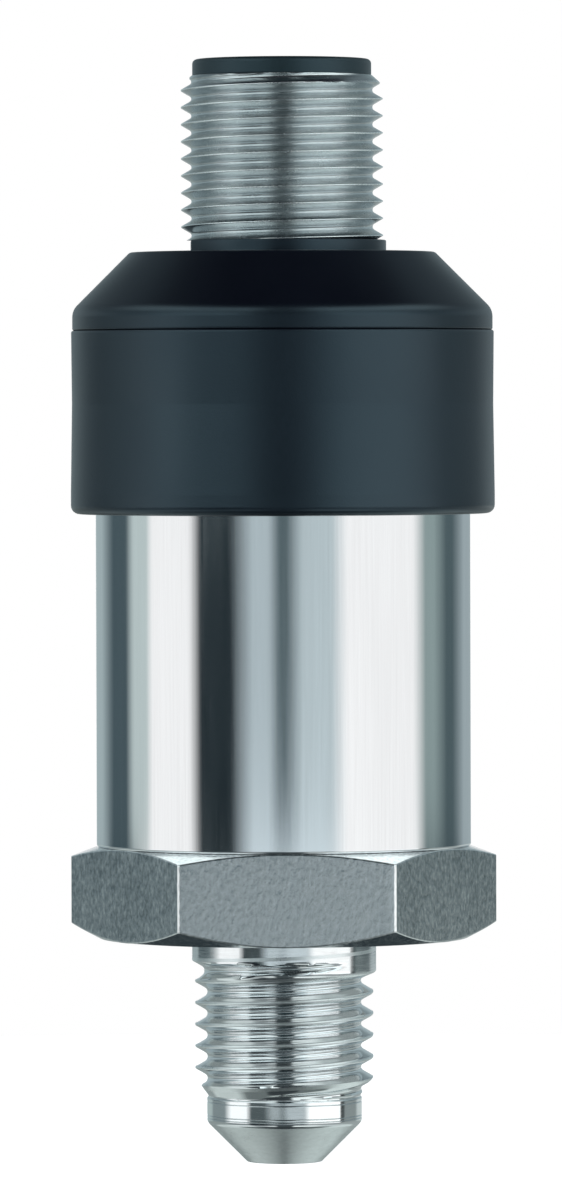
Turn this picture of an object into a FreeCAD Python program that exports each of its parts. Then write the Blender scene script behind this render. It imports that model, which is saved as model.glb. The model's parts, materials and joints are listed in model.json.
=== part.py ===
"""Compact pressure transmitter with a flare nipple below and a round plug connector above.

The measured fluid enters the bore of the nipple and presses on the thin diaphragm of a steel
cell, which is welded on top of the process connection. Strain gauges on the diaphragm are
bonded to a contact board around it, a flexible strip leads from there to the upright main
board, and two headers lead on to the connector board under the contacts. A steel tube welded to
the hexagon is the case. A moulded head with the connector's barrel is bonded into its top, and
a ring that snaps into the tube's groove covers the tube below the head's band.

Frame: millimetres, +Z up along the axis of the instrument. The origin is on that axis, in the
underside of the hexagon, where the nipple begins. The coding key of the connector faces -X,
and one flat of the hexagon faces -Y.
"""

import FreeCAD
import Part
import math
import os

from FreeCAD import Vector

# --- process connection: hexagon, threaded nipple and flare nose, turned from one bar ---
HEX_STEP = 0.12  # the flats lie this far inside the tube
HEX_CORNER_TRIM = 0.15  # how much the corners are turned down, on the diameter
HEX_HEIGHT = 5.4
HEX_TOP_CHAMFER_DEG = 20.0
HEX_BOTTOM_CHAMFER_DEG = 28.0
HEX_FACE_MARGIN = 0.05  # the round end faces stop this far inside the flats
PORT_THREAD_D = 10.88  # 7/16-20 UNF, over the crests
PORT_THREAD_LENGTH = 8.45  # down to the lead-in chamfer
PORT_NOSE_D = 9.1
PORT_NOSE_LENGTH = 1.5  # cylindrical stretch, up to the start of the flare cone
PORT_NOSE_EDGE_R = 0.5
PORT_TIP_D = 4.4  # end of the 45 degree flare cone
PORT_BORE_D = 3.0
PORT_BORE_CHAMFER = 0.3
CHAMBER_DEPTH = 2.8  # the cell's bore goes on down into the connection this far
LOCATOR_HEIGHT = 1.6  # step that centres the case tube and carries the cell

# --- pressure cell ---
CELL_HEIGHT = 7.5
CELL_D = 9.4
CELL_BORE_D = 6.0
DIAPHRAGM = 0.4

# --- case tube ---
CASE_D = 22.0
CASE_WALL = 0.85
CASE_LENGTH = 30.23
CASE_GROOVE_DEPTH = 0.35  # the cover ring's noses snap into this V groove
CASE_GROOVE_FROM_RING = 2.4  # centre of the groove, above the ring's lower edge

# --- cover ring ---
RING_WALL = 1.4
RING_HEIGHT = 10.75
RING_FOOT_EDGE = 0.45
RING_EDGE = 0.12
NOSE_COUNT = 6
NOSE_SPAN_DEG = 24.0

# --- connector head ---
HEAD_STEP = 0.1  # the band lies this far inside the ring
HEAD_TOP_D = 17.9  # top of the 45 degree cone
HEAD_BAND_HEIGHT = 1.2
HEAD_SHOULDER_R = 1.0
SKIRT_LENGTH = 7.1  # what reaches down into the tube
SKIRT_WALL = 2.45
COLLAR_PROUD = 0.17  # of the thread's crests
COLLAR_HEIGHT = 0.68
COLLAR_FLAT_PROUD = 0.06  # the collar's flat lies this far outside the thread's root
RIM_INSET = 0.065  # the rim lies this far inside the thread's root
RIM_HEIGHT = 0.96
RIM_EDGE = 0.2
SOCKET_D = 8.5
SOCKET_DEPTH = 8.5
SOCKET_LEAD = 0.25
BARREL_WALL = 0.48  # of the moulded barrel inside the sleeve
FLOOR_THICKNESS = 4.8
KEY_WIDTH = 1.3
KEY_DEPTH = 0.75
KEY_START = 0.6  # below the rim

# --- steel thread sleeve of the connector ---
SLEEVE_WALL = 0.59  # under the root of the M12x1 thread
SLEEVE_THREAD_DEPTH = 0.59
SLEEVE_LENGTH = 9.65

# --- contacts ---
PIN_COUNT = 4
PIN_CIRCLE_D = 5.0
PIN_D = 1.0
PIN_TIP_BELOW_RIM = 1.0
PIN_TIP_CHAMFER = 0.25
STEM = 0.6  # square stem below the socket's floor
STEM_PROUD = 0.6  # how far it stands out under the connector board

# --- boards and what is on them ---
BOARD = 1.0  # thickness of every rigid board
CARRIER_SIDES = 8
BOND_COUNT = 6
BOND_SPAN = 2.6
BOND_RISE = 1.0
BOND_WIDTH = 0.3
BOND_THICKNESS = 0.06
BOND_INSET = 1.1  # from the cell's edge
BOND_FAN_DEG = 24.0
BOND_FOOT = 0.35  # flat length at each end of a ribbon
BOARD_MARGIN = 0.5  # the main board stays this far inside the contact board's corners
MAIN_BOARD_LIFT = 2.2  # clear height over the bonds
NECK_DROP = 0.5  # the main board gets narrow this far below the skirt
NECK_SLOPE = 1.0
NECK_GAP = 0.6  # beside the narrow part, to the skirt
LEG_WIDTH = 1.4
TAB_WIDTH = 0.9
TAB_DEPTH = 0.8
FLEX_WIDTH = 5.0
FLEX_THICKNESS = 0.2
FLEX_BEND_R = 1.0
FLEX_MARGIN = 1.4  # from the contact board's corner circle to the strip's end
FLEX_LANDING = 2.2  # what lies on the contact board
FLEX_CROSSING = 1.8  # height of the level stretch above the main board's lower edge
FLEX_OVERLAP = 3.5  # what lies on the main board
CONNECTOR_BOARD_DROP = 1.5  # height of the pads that it lies against
PAD_WIDTH = 1.2
MAIN_BOARD_GAP = 1.0  # between its top and the connector board
HEADER_HEIGHT = 2.5
HEADER_DEPTH = 2.54
HEADER_LENGTH = 4.0
HEADER_X = 4.2  # middle of each header
POST = 0.6
POST_PITCH = 2.0
POST_PROUD = 0.4  # above the connector board, and between the header and the post's foot

# --- components: length, width, height ---
SIGNAL_CHIP = (5.0, 3.9, 1.1)
SIGNAL_LEADS = 5  # on each long side
SIGNAL_LEAD_PITCH = 0.9
DRIVER = (3.0, 3.0, 0.9)
REGULATOR = (2.9, 1.6, 1.0)
CAPACITOR = (2.0, 1.25, 1.0)
CAPACITOR_ROWS = 3
CAPACITOR_PITCH = 2.4
CAPACITOR_X = 5.4
RESISTOR = (1.6, 0.8, 0.45)
RESISTOR_COUNT = 4
RESISTOR_PITCH = 3.0
DIODE = (3.4, 2.2, 1.6)
DIODE_COUNT = 3
DIODE_PITCH = 3.6
POWER_X = 3.4  # the driver and the regulator stand this far to each side of the axis
CHIP_STANDOFF = 0.1
CHIP_BEVEL = 0.12
LEAD_THICKNESS = 0.15
LEAD_SHOULDER = 0.3
LEAD_REACH = 0.8
LEAD_ROOT = 0.05  # how far a lead reaches into its chip
LEAD_WIDTH = 0.4
CAP_PROUD = 0.03  # end caps of a two-terminal part, over its body

# --- clearances ---
SLIP = 0.05  # a piece that slides over or into another
MOULDED = 0.02  # between a moulding and the insert in it
LOOSE = 0.2  # boards and rings dropped into place

# --- radii that the levels below need ---
HEX_FLATS = CASE_D - 2 * HEX_STEP
RING_R = CASE_D / 2 + SLIP + RING_WALL
HEAD_R = RING_R - HEAD_STEP

# --- levels along the axis, from the dimensions above ---
LOCATOR_TOP = HEX_HEIGHT + LOCATOR_HEIGHT
CELL_TOP = LOCATOR_TOP + CELL_HEIGHT
SEAM = HEX_HEIGHT + CASE_LENGTH  # tube and ring end here, and the head's band begins
RING_FOOT = SEAM - RING_HEIGHT
SKIRT_FOOT = SEAM - SKIRT_LENGTH
BAND_TOP = SEAM + HEAD_BAND_HEIGHT
HEAD_TOP = BAND_TOP + HEAD_R - HEAD_TOP_D / 2
SLEEVE_FOOT = HEAD_TOP + COLLAR_HEIGHT
SLEEVE_TOP = SLEEVE_FOOT + SLEEVE_LENGTH
RIM_TOP = SLEEVE_TOP + RIM_HEIGHT
SOCKET_FLOOR = RIM_TOP - SOCKET_DEPTH
FLOOR_UNDERSIDE = SOCKET_FLOOR - FLOOR_THICKNESS
CONNECTOR_BOARD_TOP = FLOOR_UNDERSIDE - CONNECTOR_BOARD_DROP
CONNECTOR_BOARD_FOOT = CONNECTOR_BOARD_TOP - BOARD
CASE_GROOVE_Z = RING_FOOT + CASE_GROOVE_FROM_RING
NOSE_START = -PORT_THREAD_LENGTH - (PORT_THREAD_D - PORT_NOSE_D) / 2
CONE_START = NOSE_START - PORT_NOSE_LENGTH
TIP = CONE_START - (PORT_NOSE_D - PORT_TIP_D) / 2

# --- radii that several pieces share ---
BARREL_R = SOCKET_D / 2 + BARREL_WALL
SLEEVE_BORE_R = BARREL_R + MOULDED
SLEEVE_ROOT_R = SLEEVE_BORE_R + SLEEVE_WALL
SLEEVE_CREST_R = SLEEVE_ROOT_R + SLEEVE_THREAD_DEPTH
COLLAR_R = SLEEVE_CREST_R + COLLAR_PROUD
CASE_BORE_R = CASE_D / 2 - CASE_WALL
SKIRT_R = CASE_BORE_R - SLIP
SKIRT_BORE_R = SKIRT_R - SKIRT_WALL
CARRIER_R = CASE_BORE_R - SLIP
CONTACT_BOARD_R = CARRIER_R - LOOSE
MAIN_BOARD_HALF = CONTACT_BOARD_R - BOARD_MARGIN
MAIN_BOARD_FOOT = CELL_TOP + MAIN_BOARD_LIFT
MAIN_BOARD_NECK = SKIRT_FOOT - NECK_DROP  # above this the board is narrow enough for the skirt
MAIN_BOARD_TOP = CONNECTOR_BOARD_FOOT - MAIN_BOARD_GAP
NECK_HALF = SKIRT_BORE_R - NECK_GAP
FRONT = -BOARD / 2  # face of the main board towards -Y
BACK = BOARD / 2


def turned(points, arcs=None, sweep=360):
    """Revolves a closed outline of (radius, height) points about Z.

    arcs maps the index of a segment's first point to a point that its arc passes through.
    """
    arcs = arcs or {}
    corners = [Vector(r, 0, z) for r, z in points]
    edges = []
    for i, start in enumerate(corners):
        end = corners[(i + 1) % len(corners)]
        if i in arcs:
            r, z = arcs[i]
            edges.append(Part.Arc(start, Vector(r, 0, z), end).toShape())
        else:
            edges.append(Part.makeLine(start, end))
    face = Part.Face(Part.Wire(edges))
    return face.revolve(Vector(0, 0, 0), Vector(0, 0, 1), sweep)


def disc(radius, low, high):
    """A round plate or pin on the axis."""
    return Part.makeCylinder(radius, high - low, Vector(0, 0, low))


def block(x, y, z):
    """A box from three (low, high) pairs."""
    return Part.makeBox(x[1] - x[0], y[1] - y[0], z[1] - z[0], Vector(x[0], y[0], z[0]))


def around(shape, degrees):
    """A copy of a shape turned about the axis."""
    copy = shape.copy()
    copy.rotate(Vector(0, 0, 0), Vector(0, 0, 1), degrees)
    return copy


def moved(shape, x, y, z):
    """A copy of a shape shifted from where it is."""
    copy = shape.copy()
    copy.translate(Vector(x, y, z))
    return copy


def fused(shapes):
    """One solid from pieces that touch or overlap."""
    return shapes[0].multiFuse(shapes[1:]).removeSplitter()


def arc_middle(centre_r, centre_z, radius, degrees):
    """The point of a section's arc that lies in a direction from its centre."""
    angle = math.radians(degrees)
    return centre_r + radius * math.cos(angle), centre_z + radius * math.sin(angle)


# ---------------------------------------------------------------- process connection


def hexagon():
    """The spanner hexagon, its corners turned down and both ends chamfered by cones."""
    across_corners = HEX_FLATS / math.cos(math.radians(30))
    corner_r = (across_corners - HEX_CORNER_TRIM) / 2
    points = []
    for i in range(7):
        angle = math.radians(60 * i)
        points.append(
            Vector(across_corners / 2 * math.cos(angle), across_corners / 2 * math.sin(angle), 0)
        )
    prism = Part.Face(Part.makePolygon(points)).extrude(Vector(0, 0, HEX_HEIGHT))
    face_r = HEX_FLATS / 2 - HEX_FACE_MARGIN
    top_drop = (corner_r - face_r) * math.tan(math.radians(HEX_TOP_CHAMFER_DEG))
    foot_rise = (corner_r - face_r) * math.tan(math.radians(HEX_BOTTOM_CHAMFER_DEG))
    envelope = turned([
        (0, 0),
        (face_r, 0),
        (corner_r, foot_rise),
        (corner_r, HEX_HEIGHT - top_drop),
        (face_r, HEX_HEIGHT),
        (0, HEX_HEIGHT),
    ])
    return prism.common(envelope)


def nipple():
    """Threaded stretch at its crest diameter, lead-in chamfer, nose and 45 degree flare cone."""
    crest = PORT_THREAD_D / 2
    nose = PORT_NOSE_D / 2
    tip = PORT_TIP_D / 2
    # the nose meets the cone in a round edge, tangent to both
    setback = PORT_NOSE_EDGE_R * math.tan(math.radians(22.5))
    diagonal = setback * math.cos(math.radians(45))
    edge_top = CONE_START + setback
    centre_r = nose - PORT_NOSE_EDGE_R
    return turned(
        [
            (0, 0),
            (crest, 0),
            (crest, -PORT_THREAD_LENGTH),
            (nose, NOSE_START),
            (nose, edge_top),
            (nose - diagonal, CONE_START - diagonal),
            (tip, TIP),
            (0, TIP),
        ],
        {4: arc_middle(centre_r, edge_top, PORT_NOSE_EDGE_R, -22.5)},
    )


def process_connection():
    """Everything that is turned from the bar: nipple, hexagon and the tube's locator."""
    locator = disc(CASE_BORE_R - SLIP, HEX_HEIGHT, LOCATOR_TOP)
    bore_r = PORT_BORE_D / 2
    bore = turned([
        (0, TIP - 1),
        (bore_r + PORT_BORE_CHAMFER + 1, TIP - 1),
        (bore_r, TIP + PORT_BORE_CHAMFER),
        (bore_r, LOCATOR_TOP - CHAMBER_DEPTH),
        (CELL_BORE_D / 2, LOCATOR_TOP - CHAMBER_DEPTH),
        (CELL_BORE_D / 2, LOCATOR_TOP + 1),
        (0, LOCATOR_TOP + 1),
    ])
    return fused([nipple(), hexagon(), locator]).cut(bore)


def measuring_cell():
    """Cup-shaped steel cell whose top is the diaphragm."""
    cup = disc(CELL_D / 2, LOCATOR_TOP, CELL_TOP)
    return cup.cut(disc(CELL_BORE_D / 2, LOCATOR_TOP, CELL_TOP - DIAPHRAGM))


# ---------------------------------------------------------------- case


def case_tube():
    """Drawn steel tube with a turned V groove for the cover ring's noses."""
    outer = CASE_D / 2
    return turned([
        (CASE_BORE_R, HEX_HEIGHT),
        (outer, HEX_HEIGHT),
        (outer, CASE_GROOVE_Z - CASE_GROOVE_DEPTH),
        (outer - CASE_GROOVE_DEPTH, CASE_GROOVE_Z),
        (outer, CASE_GROOVE_Z + CASE_GROOVE_DEPTH),
        (outer, SEAM),
        (CASE_BORE_R, SEAM),
    ])


def cover_ring():
    """Moulded ring over the tube's upper end, with snap noses inside."""
    bore = CASE_D / 2 + SLIP
    body = turned([
        (bore, RING_FOOT),
        (RING_R - RING_FOOT_EDGE, RING_FOOT),
        (RING_R, RING_FOOT + RING_FOOT_EDGE),
        (RING_R, SEAM - RING_EDGE),
        (RING_R - RING_EDGE, SEAM),
        (bore, SEAM),
    ])
    reach = CASE_GROOVE_DEPTH + SLIP
    nose = turned(
        [
            (bore + SLIP, CASE_GROOVE_Z - reach),
            (bore + SLIP - reach, CASE_GROOVE_Z),
            (bore + SLIP, CASE_GROOVE_Z + reach),
            (bore + 2 * SLIP, CASE_GROOVE_Z),
        ],
        sweep=NOSE_SPAN_DEG,
    )
    return fused([body] + [around(nose, 360 / NOSE_COUNT * i) for i in range(NOSE_COUNT)])


# ---------------------------------------------------------------- connector


def pin_angles():
    """The contacts stand on the diagonals, with the key between two of them."""
    return [45 + 360 / PIN_COUNT * i for i in range(PIN_COUNT)]


def contact(angle):
    """One contact: a round pin standing on the socket's floor, with a square stem below."""
    radius = PIN_D / 2
    high = RIM_TOP - PIN_TIP_BELOW_RIM
    pin = turned([
        (0, SOCKET_FLOOR),
        (radius, SOCKET_FLOOR),
        (radius, high - PIN_TIP_CHAMFER),
        (radius - PIN_TIP_CHAMFER, high),
        (0, high),
    ])
    stem = square_bar(STEM / 2, CONNECTOR_BOARD_FOOT - STEM_PROUD, SOCKET_FLOOR)
    return at_pin(fused([pin, stem]), angle)


def square_bar(half, low, high):
    """An upright square bar on the axis."""
    return block((-half, half), (-half, half), (low, high))


def at_pin(shape, angle):
    """A shape built on the axis, moved to a contact's place."""
    a = math.radians(angle)
    return moved(shape, PIN_CIRCLE_D / 2 * math.cos(a), PIN_CIRCLE_D / 2 * math.sin(a), 0)


def stem_holes(low, high):
    """The holes that the contacts' stems pass through."""
    hole = square_bar(STEM / 2 + MOULDED, low, high)
    return fused([at_pin(hole, angle) for angle in pin_angles()])


def threaded_sleeve():
    """Steel sleeve that carries the connector's thread, at its crest diameter."""
    return turned([
        (SLEEVE_BORE_R, SLEEVE_FOOT),
        (SLEEVE_CREST_R, SLEEVE_FOOT),
        (SLEEVE_CREST_R, SLEEVE_TOP - SLEEVE_THREAD_DEPTH),
        (SLEEVE_ROOT_R, SLEEVE_TOP),
        (SLEEVE_BORE_R, SLEEVE_TOP),
    ])


def socket():
    """The space that the cable's plug enters, without the coding key."""
    radius = SOCKET_D / 2
    space = turned([
        (0, SOCKET_FLOOR),
        (radius, SOCKET_FLOOR),
        (radius, RIM_TOP - SOCKET_LEAD),
        (radius + SOCKET_LEAD, RIM_TOP),
        (radius + SOCKET_LEAD, RIM_TOP + 1),
        (0, RIM_TOP + 1),
    ])
    key = block(
        (-radius - 1, -radius + KEY_DEPTH),
        (-KEY_WIDTH / 2, KEY_WIDTH / 2),
        (SOCKET_FLOOR, RIM_TOP - KEY_START),
    )
    return space.cut(key)


def connector_head():
    """Moulded head: skirt, band, cone, collar, barrel, coding key, socket floor and pads."""
    rim_r = SLEEVE_ROOT_R - RIM_INSET
    setback = HEAD_SHOULDER_R * math.tan(math.radians(22.5))
    diagonal = setback * math.cos(math.radians(45))
    head = turned(
        [
            (SKIRT_BORE_R, SKIRT_FOOT),
            (SKIRT_R, SKIRT_FOOT),
            (SKIRT_R, SEAM),
            (HEAD_R, SEAM),
            (HEAD_R, BAND_TOP - setback),
            (HEAD_R - diagonal, BAND_TOP + diagonal),
            (HEAD_TOP_D / 2, HEAD_TOP),
            (COLLAR_R, HEAD_TOP),
            (COLLAR_R, SLEEVE_FOOT),
            (BARREL_R, SLEEVE_FOOT),
            (BARREL_R, SLEEVE_TOP),
            (rim_r, SLEEVE_TOP),
            (rim_r, RIM_TOP - RIM_EDGE),
            (rim_r - RIM_EDGE, RIM_TOP),
            (0, RIM_TOP),
            (0, FLOOR_UNDERSIDE),
            (SKIRT_BORE_R, FLOOR_UNDERSIDE),
        ],
        {4: arc_middle(HEAD_R - HEAD_SHOULDER_R, BAND_TOP - setback, HEAD_SHOULDER_R, 22.5)},
    )
    flat = SLEEVE_ROOT_R + COLLAR_FLAT_PROUD
    outside = 2 * COLLAR_R
    collar_flat = block((-outside, -flat), (-outside, outside), (HEAD_TOP, SLEEVE_FOOT))
    head = head.cut(socket()).cut(collar_flat).cut(stem_holes(FLOOR_UNDERSIDE, SOCKET_FLOOR))
    pad = block(
        (SKIRT_BORE_R - PAD_WIDTH, SKIRT_BORE_R + SLIP),
        (-PAD_WIDTH / 2, PAD_WIDTH / 2),
        (CONNECTOR_BOARD_TOP, FLOOR_UNDERSIDE),
    )
    return fused([head] + [around(pad, angle) for angle in (0, 90, 180, 270)])


# ---------------------------------------------------------------- boards


def polygon_plate(radius, low, high):
    """An upright prism with a corner on +X, as wide as the tube lets it be."""
    corners = []
    for i in range(CARRIER_SIDES + 1):
        angle = math.radians(360 / CARRIER_SIDES * i)
        corners.append(Vector(radius * math.cos(angle), radius * math.sin(angle), low))
    return Part.Face(Part.makePolygon(corners)).extrude(Vector(0, 0, high - low))


def tab_slots(low, high):
    """Two slots for the tabs of the main board's legs."""
    middle = MAIN_BOARD_HALF - LEG_WIDTH / 2
    half = TAB_WIDTH / 2 + SLIP
    slot = block(
        (middle - half, middle + half), (FRONT - SLIP, BACK + SLIP), (low, high)
    )
    return slot.fuse(around(slot, 180))


def board_carrier():
    """Moulded block round the cell that carries the contact board."""
    deck = CELL_TOP - BOARD
    body = polygon_plate(CARRIER_R, LOCATOR_TOP, deck)
    hole = disc(CELL_D / 2 + LOOSE, LOCATOR_TOP, deck)
    return body.cut(hole).cut(tab_slots(deck - TAB_DEPTH - SLIP, deck))


def contact_board():
    """Board that the diaphragm's gauges are bonded to."""
    low = CELL_TOP - BOARD
    plate = polygon_plate(CONTACT_BOARD_R, low, CELL_TOP)
    return plate.cut(disc(CELL_D / 2 + LOOSE, low, CELL_TOP)).cut(tab_slots(low, CELL_TOP))


def bond_ribbons():
    """Ribbons from the diaphragm to the contact board, fanned out at the back."""
    start = CELL_D / 2 - BOND_INSET
    outside = [
        (0, 0),
        (BOND_FOOT, 0),
        (BOND_SPAN / 3, BOND_RISE),
        (BOND_SPAN * 2 / 3, BOND_RISE),
        (BOND_SPAN - BOND_FOOT, 0),
        (BOND_SPAN, 0),
    ]
    inside = [(x, z + BOND_THICKNESS) for x, z in reversed(outside)]
    corners = [
        Vector(start + x, -BOND_WIDTH / 2, CELL_TOP + z) for x, z in outside + inside
    ]
    face = Part.Face(Part.makePolygon(corners + corners[:1]))
    ribbon = face.extrude(Vector(0, BOND_WIDTH, 0))
    first = 90 - BOND_FAN_DEG * (BOND_COUNT - 1) / 2
    return [around(ribbon, first + BOND_FAN_DEG * i) for i in range(BOND_COUNT)]


def main_board():
    """Upright board on two legs, narrower above where it reaches into the skirt."""
    leg_in = MAIN_BOARD_HALF - LEG_WIDTH
    tab_low = MAIN_BOARD_HALF - (LEG_WIDTH + TAB_WIDTH) / 2
    tab_high = tab_low + TAB_WIDTH
    tab_foot = CELL_TOP - BOARD - TAB_DEPTH
    right = [
        (leg_in, MAIN_BOARD_FOOT),
        (leg_in, CELL_TOP),
        (tab_low, CELL_TOP),
        (tab_low, tab_foot),
        (tab_high, tab_foot),
        (tab_high, CELL_TOP),
        (MAIN_BOARD_HALF, CELL_TOP),
        (MAIN_BOARD_HALF, MAIN_BOARD_NECK - NECK_SLOPE),
        (NECK_HALF, MAIN_BOARD_NECK),
        (NECK_HALF, MAIN_BOARD_TOP),
    ]
    left = [(-x, z) for x, z in reversed(right)]
    outline = [Vector(x, FRONT, z) for x, z in right + left]
    face = Part.Face(Part.makePolygon(outline + outline[:1]))
    return face.extrude(Vector(0, BOARD, 0))


def bent_strip(points, radius, width, thickness):
    """A strip along a path in the YZ plane, its corners bent round arcs."""
    path = [Vector(0, y, z) for y, z in points]
    edges = []
    start = path[0]
    for before, corner, after in zip(path, path[1:], path[2:]):
        into = (corner - before).normalize()
        out = (after - corner).normalize()
        half_turn = into.getAngle(out) / 2
        setback = radius * math.tan(half_turn)
        arc_from = corner - into * setback
        arc_to = corner + out * setback
        inward = (out - into).normalize()
        middle = corner + inward * (radius / math.cos(half_turn) - radius)
        edges.append(Part.makeLine(start, arc_from))
        edges.append(Part.Arc(arc_from, middle, arc_to).toShape())
        start = arc_to
    edges.append(Part.makeLine(start, path[-1]))
    spine = Part.Wire(edges)
    along = (path[1] - path[0]).normalize()
    side = Vector(1, 0, 0)
    up = along.cross(side)
    corners = [
        path[0] + side * (width / 2 * s) + up * (thickness / 2 * t)
        for s, t in ((-1, -1), (1, -1), (1, 1), (-1, 1))
    ]
    profile = Part.makePolygon(corners + corners[:1])
    return spine.makePipeShell([profile], True, True)


def flex_link():
    """Flexible strip from the contact board up to the front of the main board."""
    middle = FLEX_THICKNESS / 2
    start = -(CONTACT_BOARD_R - FLEX_MARGIN)
    rise = start + FLEX_LANDING
    bridge = MAIN_BOARD_FOOT + FLEX_CROSSING
    return bent_strip(
        [
            (start, CELL_TOP + middle),
            (rise, CELL_TOP + middle),
            (rise, bridge),
            (FRONT - middle, bridge),
            (FRONT - middle, bridge + FLEX_OVERLAP),
        ],
        FLEX_BEND_R,
        FLEX_WIDTH,
        FLEX_THICKNESS,
    )


def connector_board():
    """Round board under the socket's floor, with holes for the stems and the posts."""
    board = disc(SKIRT_BORE_R - LOOSE, CONNECTOR_BOARD_FOOT, CONNECTOR_BOARD_TOP)
    board = board.cut(stem_holes(CONNECTOR_BOARD_FOOT, CONNECTOR_BOARD_TOP))
    for x in post_places():
        hole = square_bar(POST / 2 + MOULDED, CONNECTOR_BOARD_FOOT, CONNECTOR_BOARD_TOP)
        board = board.cut(moved(hole, x, FRONT - HEADER_DEPTH / 2, 0))
    return board


def post_places():
    """Where the headers' posts stand along X, from left to right."""
    places = []
    for header in (-HEADER_X, HEADER_X):
        places += [header - POST_PITCH / 2, header + POST_PITCH / 2]
    return places


def header_bodies():
    """Two moulded bars on the front of the main board, at its top."""
    low = MAIN_BOARD_TOP - HEADER_HEIGHT
    bars = []
    for header in (-HEADER_X, HEADER_X):
        bar = block(
            (header - HEADER_LENGTH / 2, header + HEADER_LENGTH / 2),
            (FRONT - HEADER_DEPTH, FRONT),
            (low, MAIN_BOARD_TOP),
        )
        for x in post_places():
            hole = square_bar(POST / 2 + MOULDED, low, MAIN_BOARD_TOP)
            bar = bar.cut(moved(hole, x, FRONT - HEADER_DEPTH / 2, 0))
        bars.append(bar)
    return bars


def header_posts():
    """Square posts with a foot on the main board, up through the connector board."""
    middle = FRONT - HEADER_DEPTH / 2
    sole = MAIN_BOARD_TOP - HEADER_HEIGHT - POST_PROUD
    outline = [
        (FRONT, sole),
        (FRONT, sole - POST),
        (middle - POST / 2, sole - POST),
        (middle - POST / 2, CONNECTOR_BOARD_TOP + POST_PROUD),
        (middle + POST / 2, CONNECTOR_BOARD_TOP + POST_PROUD),
        (middle + POST / 2, sole),
    ]
    posts = []
    for x in post_places():
        corners = [Vector(x - POST / 2, y, z) for y, z in outline]
        face = Part.Face(Part.makePolygon(corners + corners[:1]))
        posts.append(face.extrude(Vector(POST, 0, 0)))
    return posts


# ---------------------------------------------------------------- components


def on_face(shape, x, z, back=False):
    """Puts a component, drawn standing on z = 0, on the main board's front or back."""
    copy = shape.copy()
    if back:
        copy.rotate(Vector(0, 0, 0), Vector(1, 0, 0), -90)
        copy.translate(Vector(x, BACK, z))
    else:
        copy.rotate(Vector(0, 0, 0), Vector(1, 0, 0), 90)
        copy.translate(Vector(x, FRONT, z))
    return copy


def chip(size, leads=0, pitch=1.0):
    """Moulded chip with bevelled top, and gull-wing leads along both long sides if it has any."""
    length, width, height = size
    standoff = CHIP_STANDOFF if leads else 0.0
    body = block((-width / 2, width / 2), (-length / 2, length / 2), (standoff, height))
    rim = [edge for edge in body.Edges if abs(edge.CenterOfMass.z - height) < CHIP_BEVEL / 2]
    parts = [body.makeChamfer(CHIP_BEVEL, rim)]
    root = width / 2 - LEAD_ROOT
    shoulder = width / 2 + LEAD_SHOULDER
    outline = [
        (root, height / 2),
        (shoulder, height / 2),
        (shoulder, LEAD_THICKNESS),
        (width / 2 + LEAD_REACH, LEAD_THICKNESS),
        (width / 2 + LEAD_REACH, 0),
        (shoulder - LEAD_THICKNESS, 0),
        (shoulder - LEAD_THICKNESS, height / 2 - LEAD_THICKNESS),
        (root, height / 2 - LEAD_THICKNESS),
    ]
    for i in range(leads):
        y = pitch * (i - (leads - 1) / 2) - LEAD_WIDTH / 2
        corners = [Vector(x, y, z) for x, z in outline]
        lead = Part.Face(Part.makePolygon(corners + corners[:1])).extrude(Vector(0, LEAD_WIDTH, 0))
        parts += [lead, lead.mirror(Vector(0, 0, 0), Vector(1, 0, 0))]
    return fused(parts) if leads else parts[0]


def two_terminal(size, cap):
    """Chip capacitor, resistor or diode: a body between two slightly larger end caps."""
    length, width, height = size
    half = length / 2
    side = width / 2 + CAP_PROUD
    body = block(
        (-half + cap, half - cap), (-width / 2, width / 2), (CAP_PROUD, height - CAP_PROUD)
    )
    ends = [
        block((-half, -half + cap), (-side, side), (0, height)),
        block((half - cap, half), (-side, side), (0, height)),
    ]
    return fused([body] + ends)


def row_of(count, pitch):
    """Places of some equal parts along X, the row's middle on the axis."""
    return [pitch * (i - (count - 1) / 2) for i in range(count)]


def signal_chip():
    """Signal processor in the middle of the front."""
    part = chip(SIGNAL_CHIP, SIGNAL_LEADS, SIGNAL_LEAD_PITCH)
    return [on_face(part, 0, MAIN_BOARD_NECK - 0.8)]


def output_driver():
    """Output stage on the back, towards the connector."""
    return [on_face(chip(DRIVER), POWER_X, MAIN_BOARD_NECK + 1.4, back=True)]


def voltage_regulator():
    """Regulator on the back, beside the output stage."""
    return [on_face(chip(REGULATOR), -POWER_X, MAIN_BOARD_NECK + 1.4, back=True)]


def filter_capacitors():
    """Ceramic capacitors in two columns on the front."""
    part = two_terminal(CAPACITOR, 0.4)
    levels = [MAIN_BOARD_FOOT + 1.2 + CAPACITOR_PITCH * i for i in range(CAPACITOR_ROWS)]
    return [on_face(part, side * CAPACITOR_X, z) for side in (-1, 1) for z in levels]


def chip_resistors():
    """Resistors in a row low on the back."""
    part = two_terminal(RESISTOR, 0.3)
    level = MAIN_BOARD_FOOT + 1.8
    return [on_face(part, x, level, back=True) for x in row_of(RESISTOR_COUNT, RESISTOR_PITCH)]


def suppressor_diodes():
    """Surge suppressors in a row on the back."""
    part = around(two_terminal(DIODE, 0.5), 90)
    level = MAIN_BOARD_FOOT + 6.6
    return [on_face(part, x, level, back=True) for x in row_of(DIODE_COUNT, DIODE_PITCH)]


# ---------------------------------------------------------------- output


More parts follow.
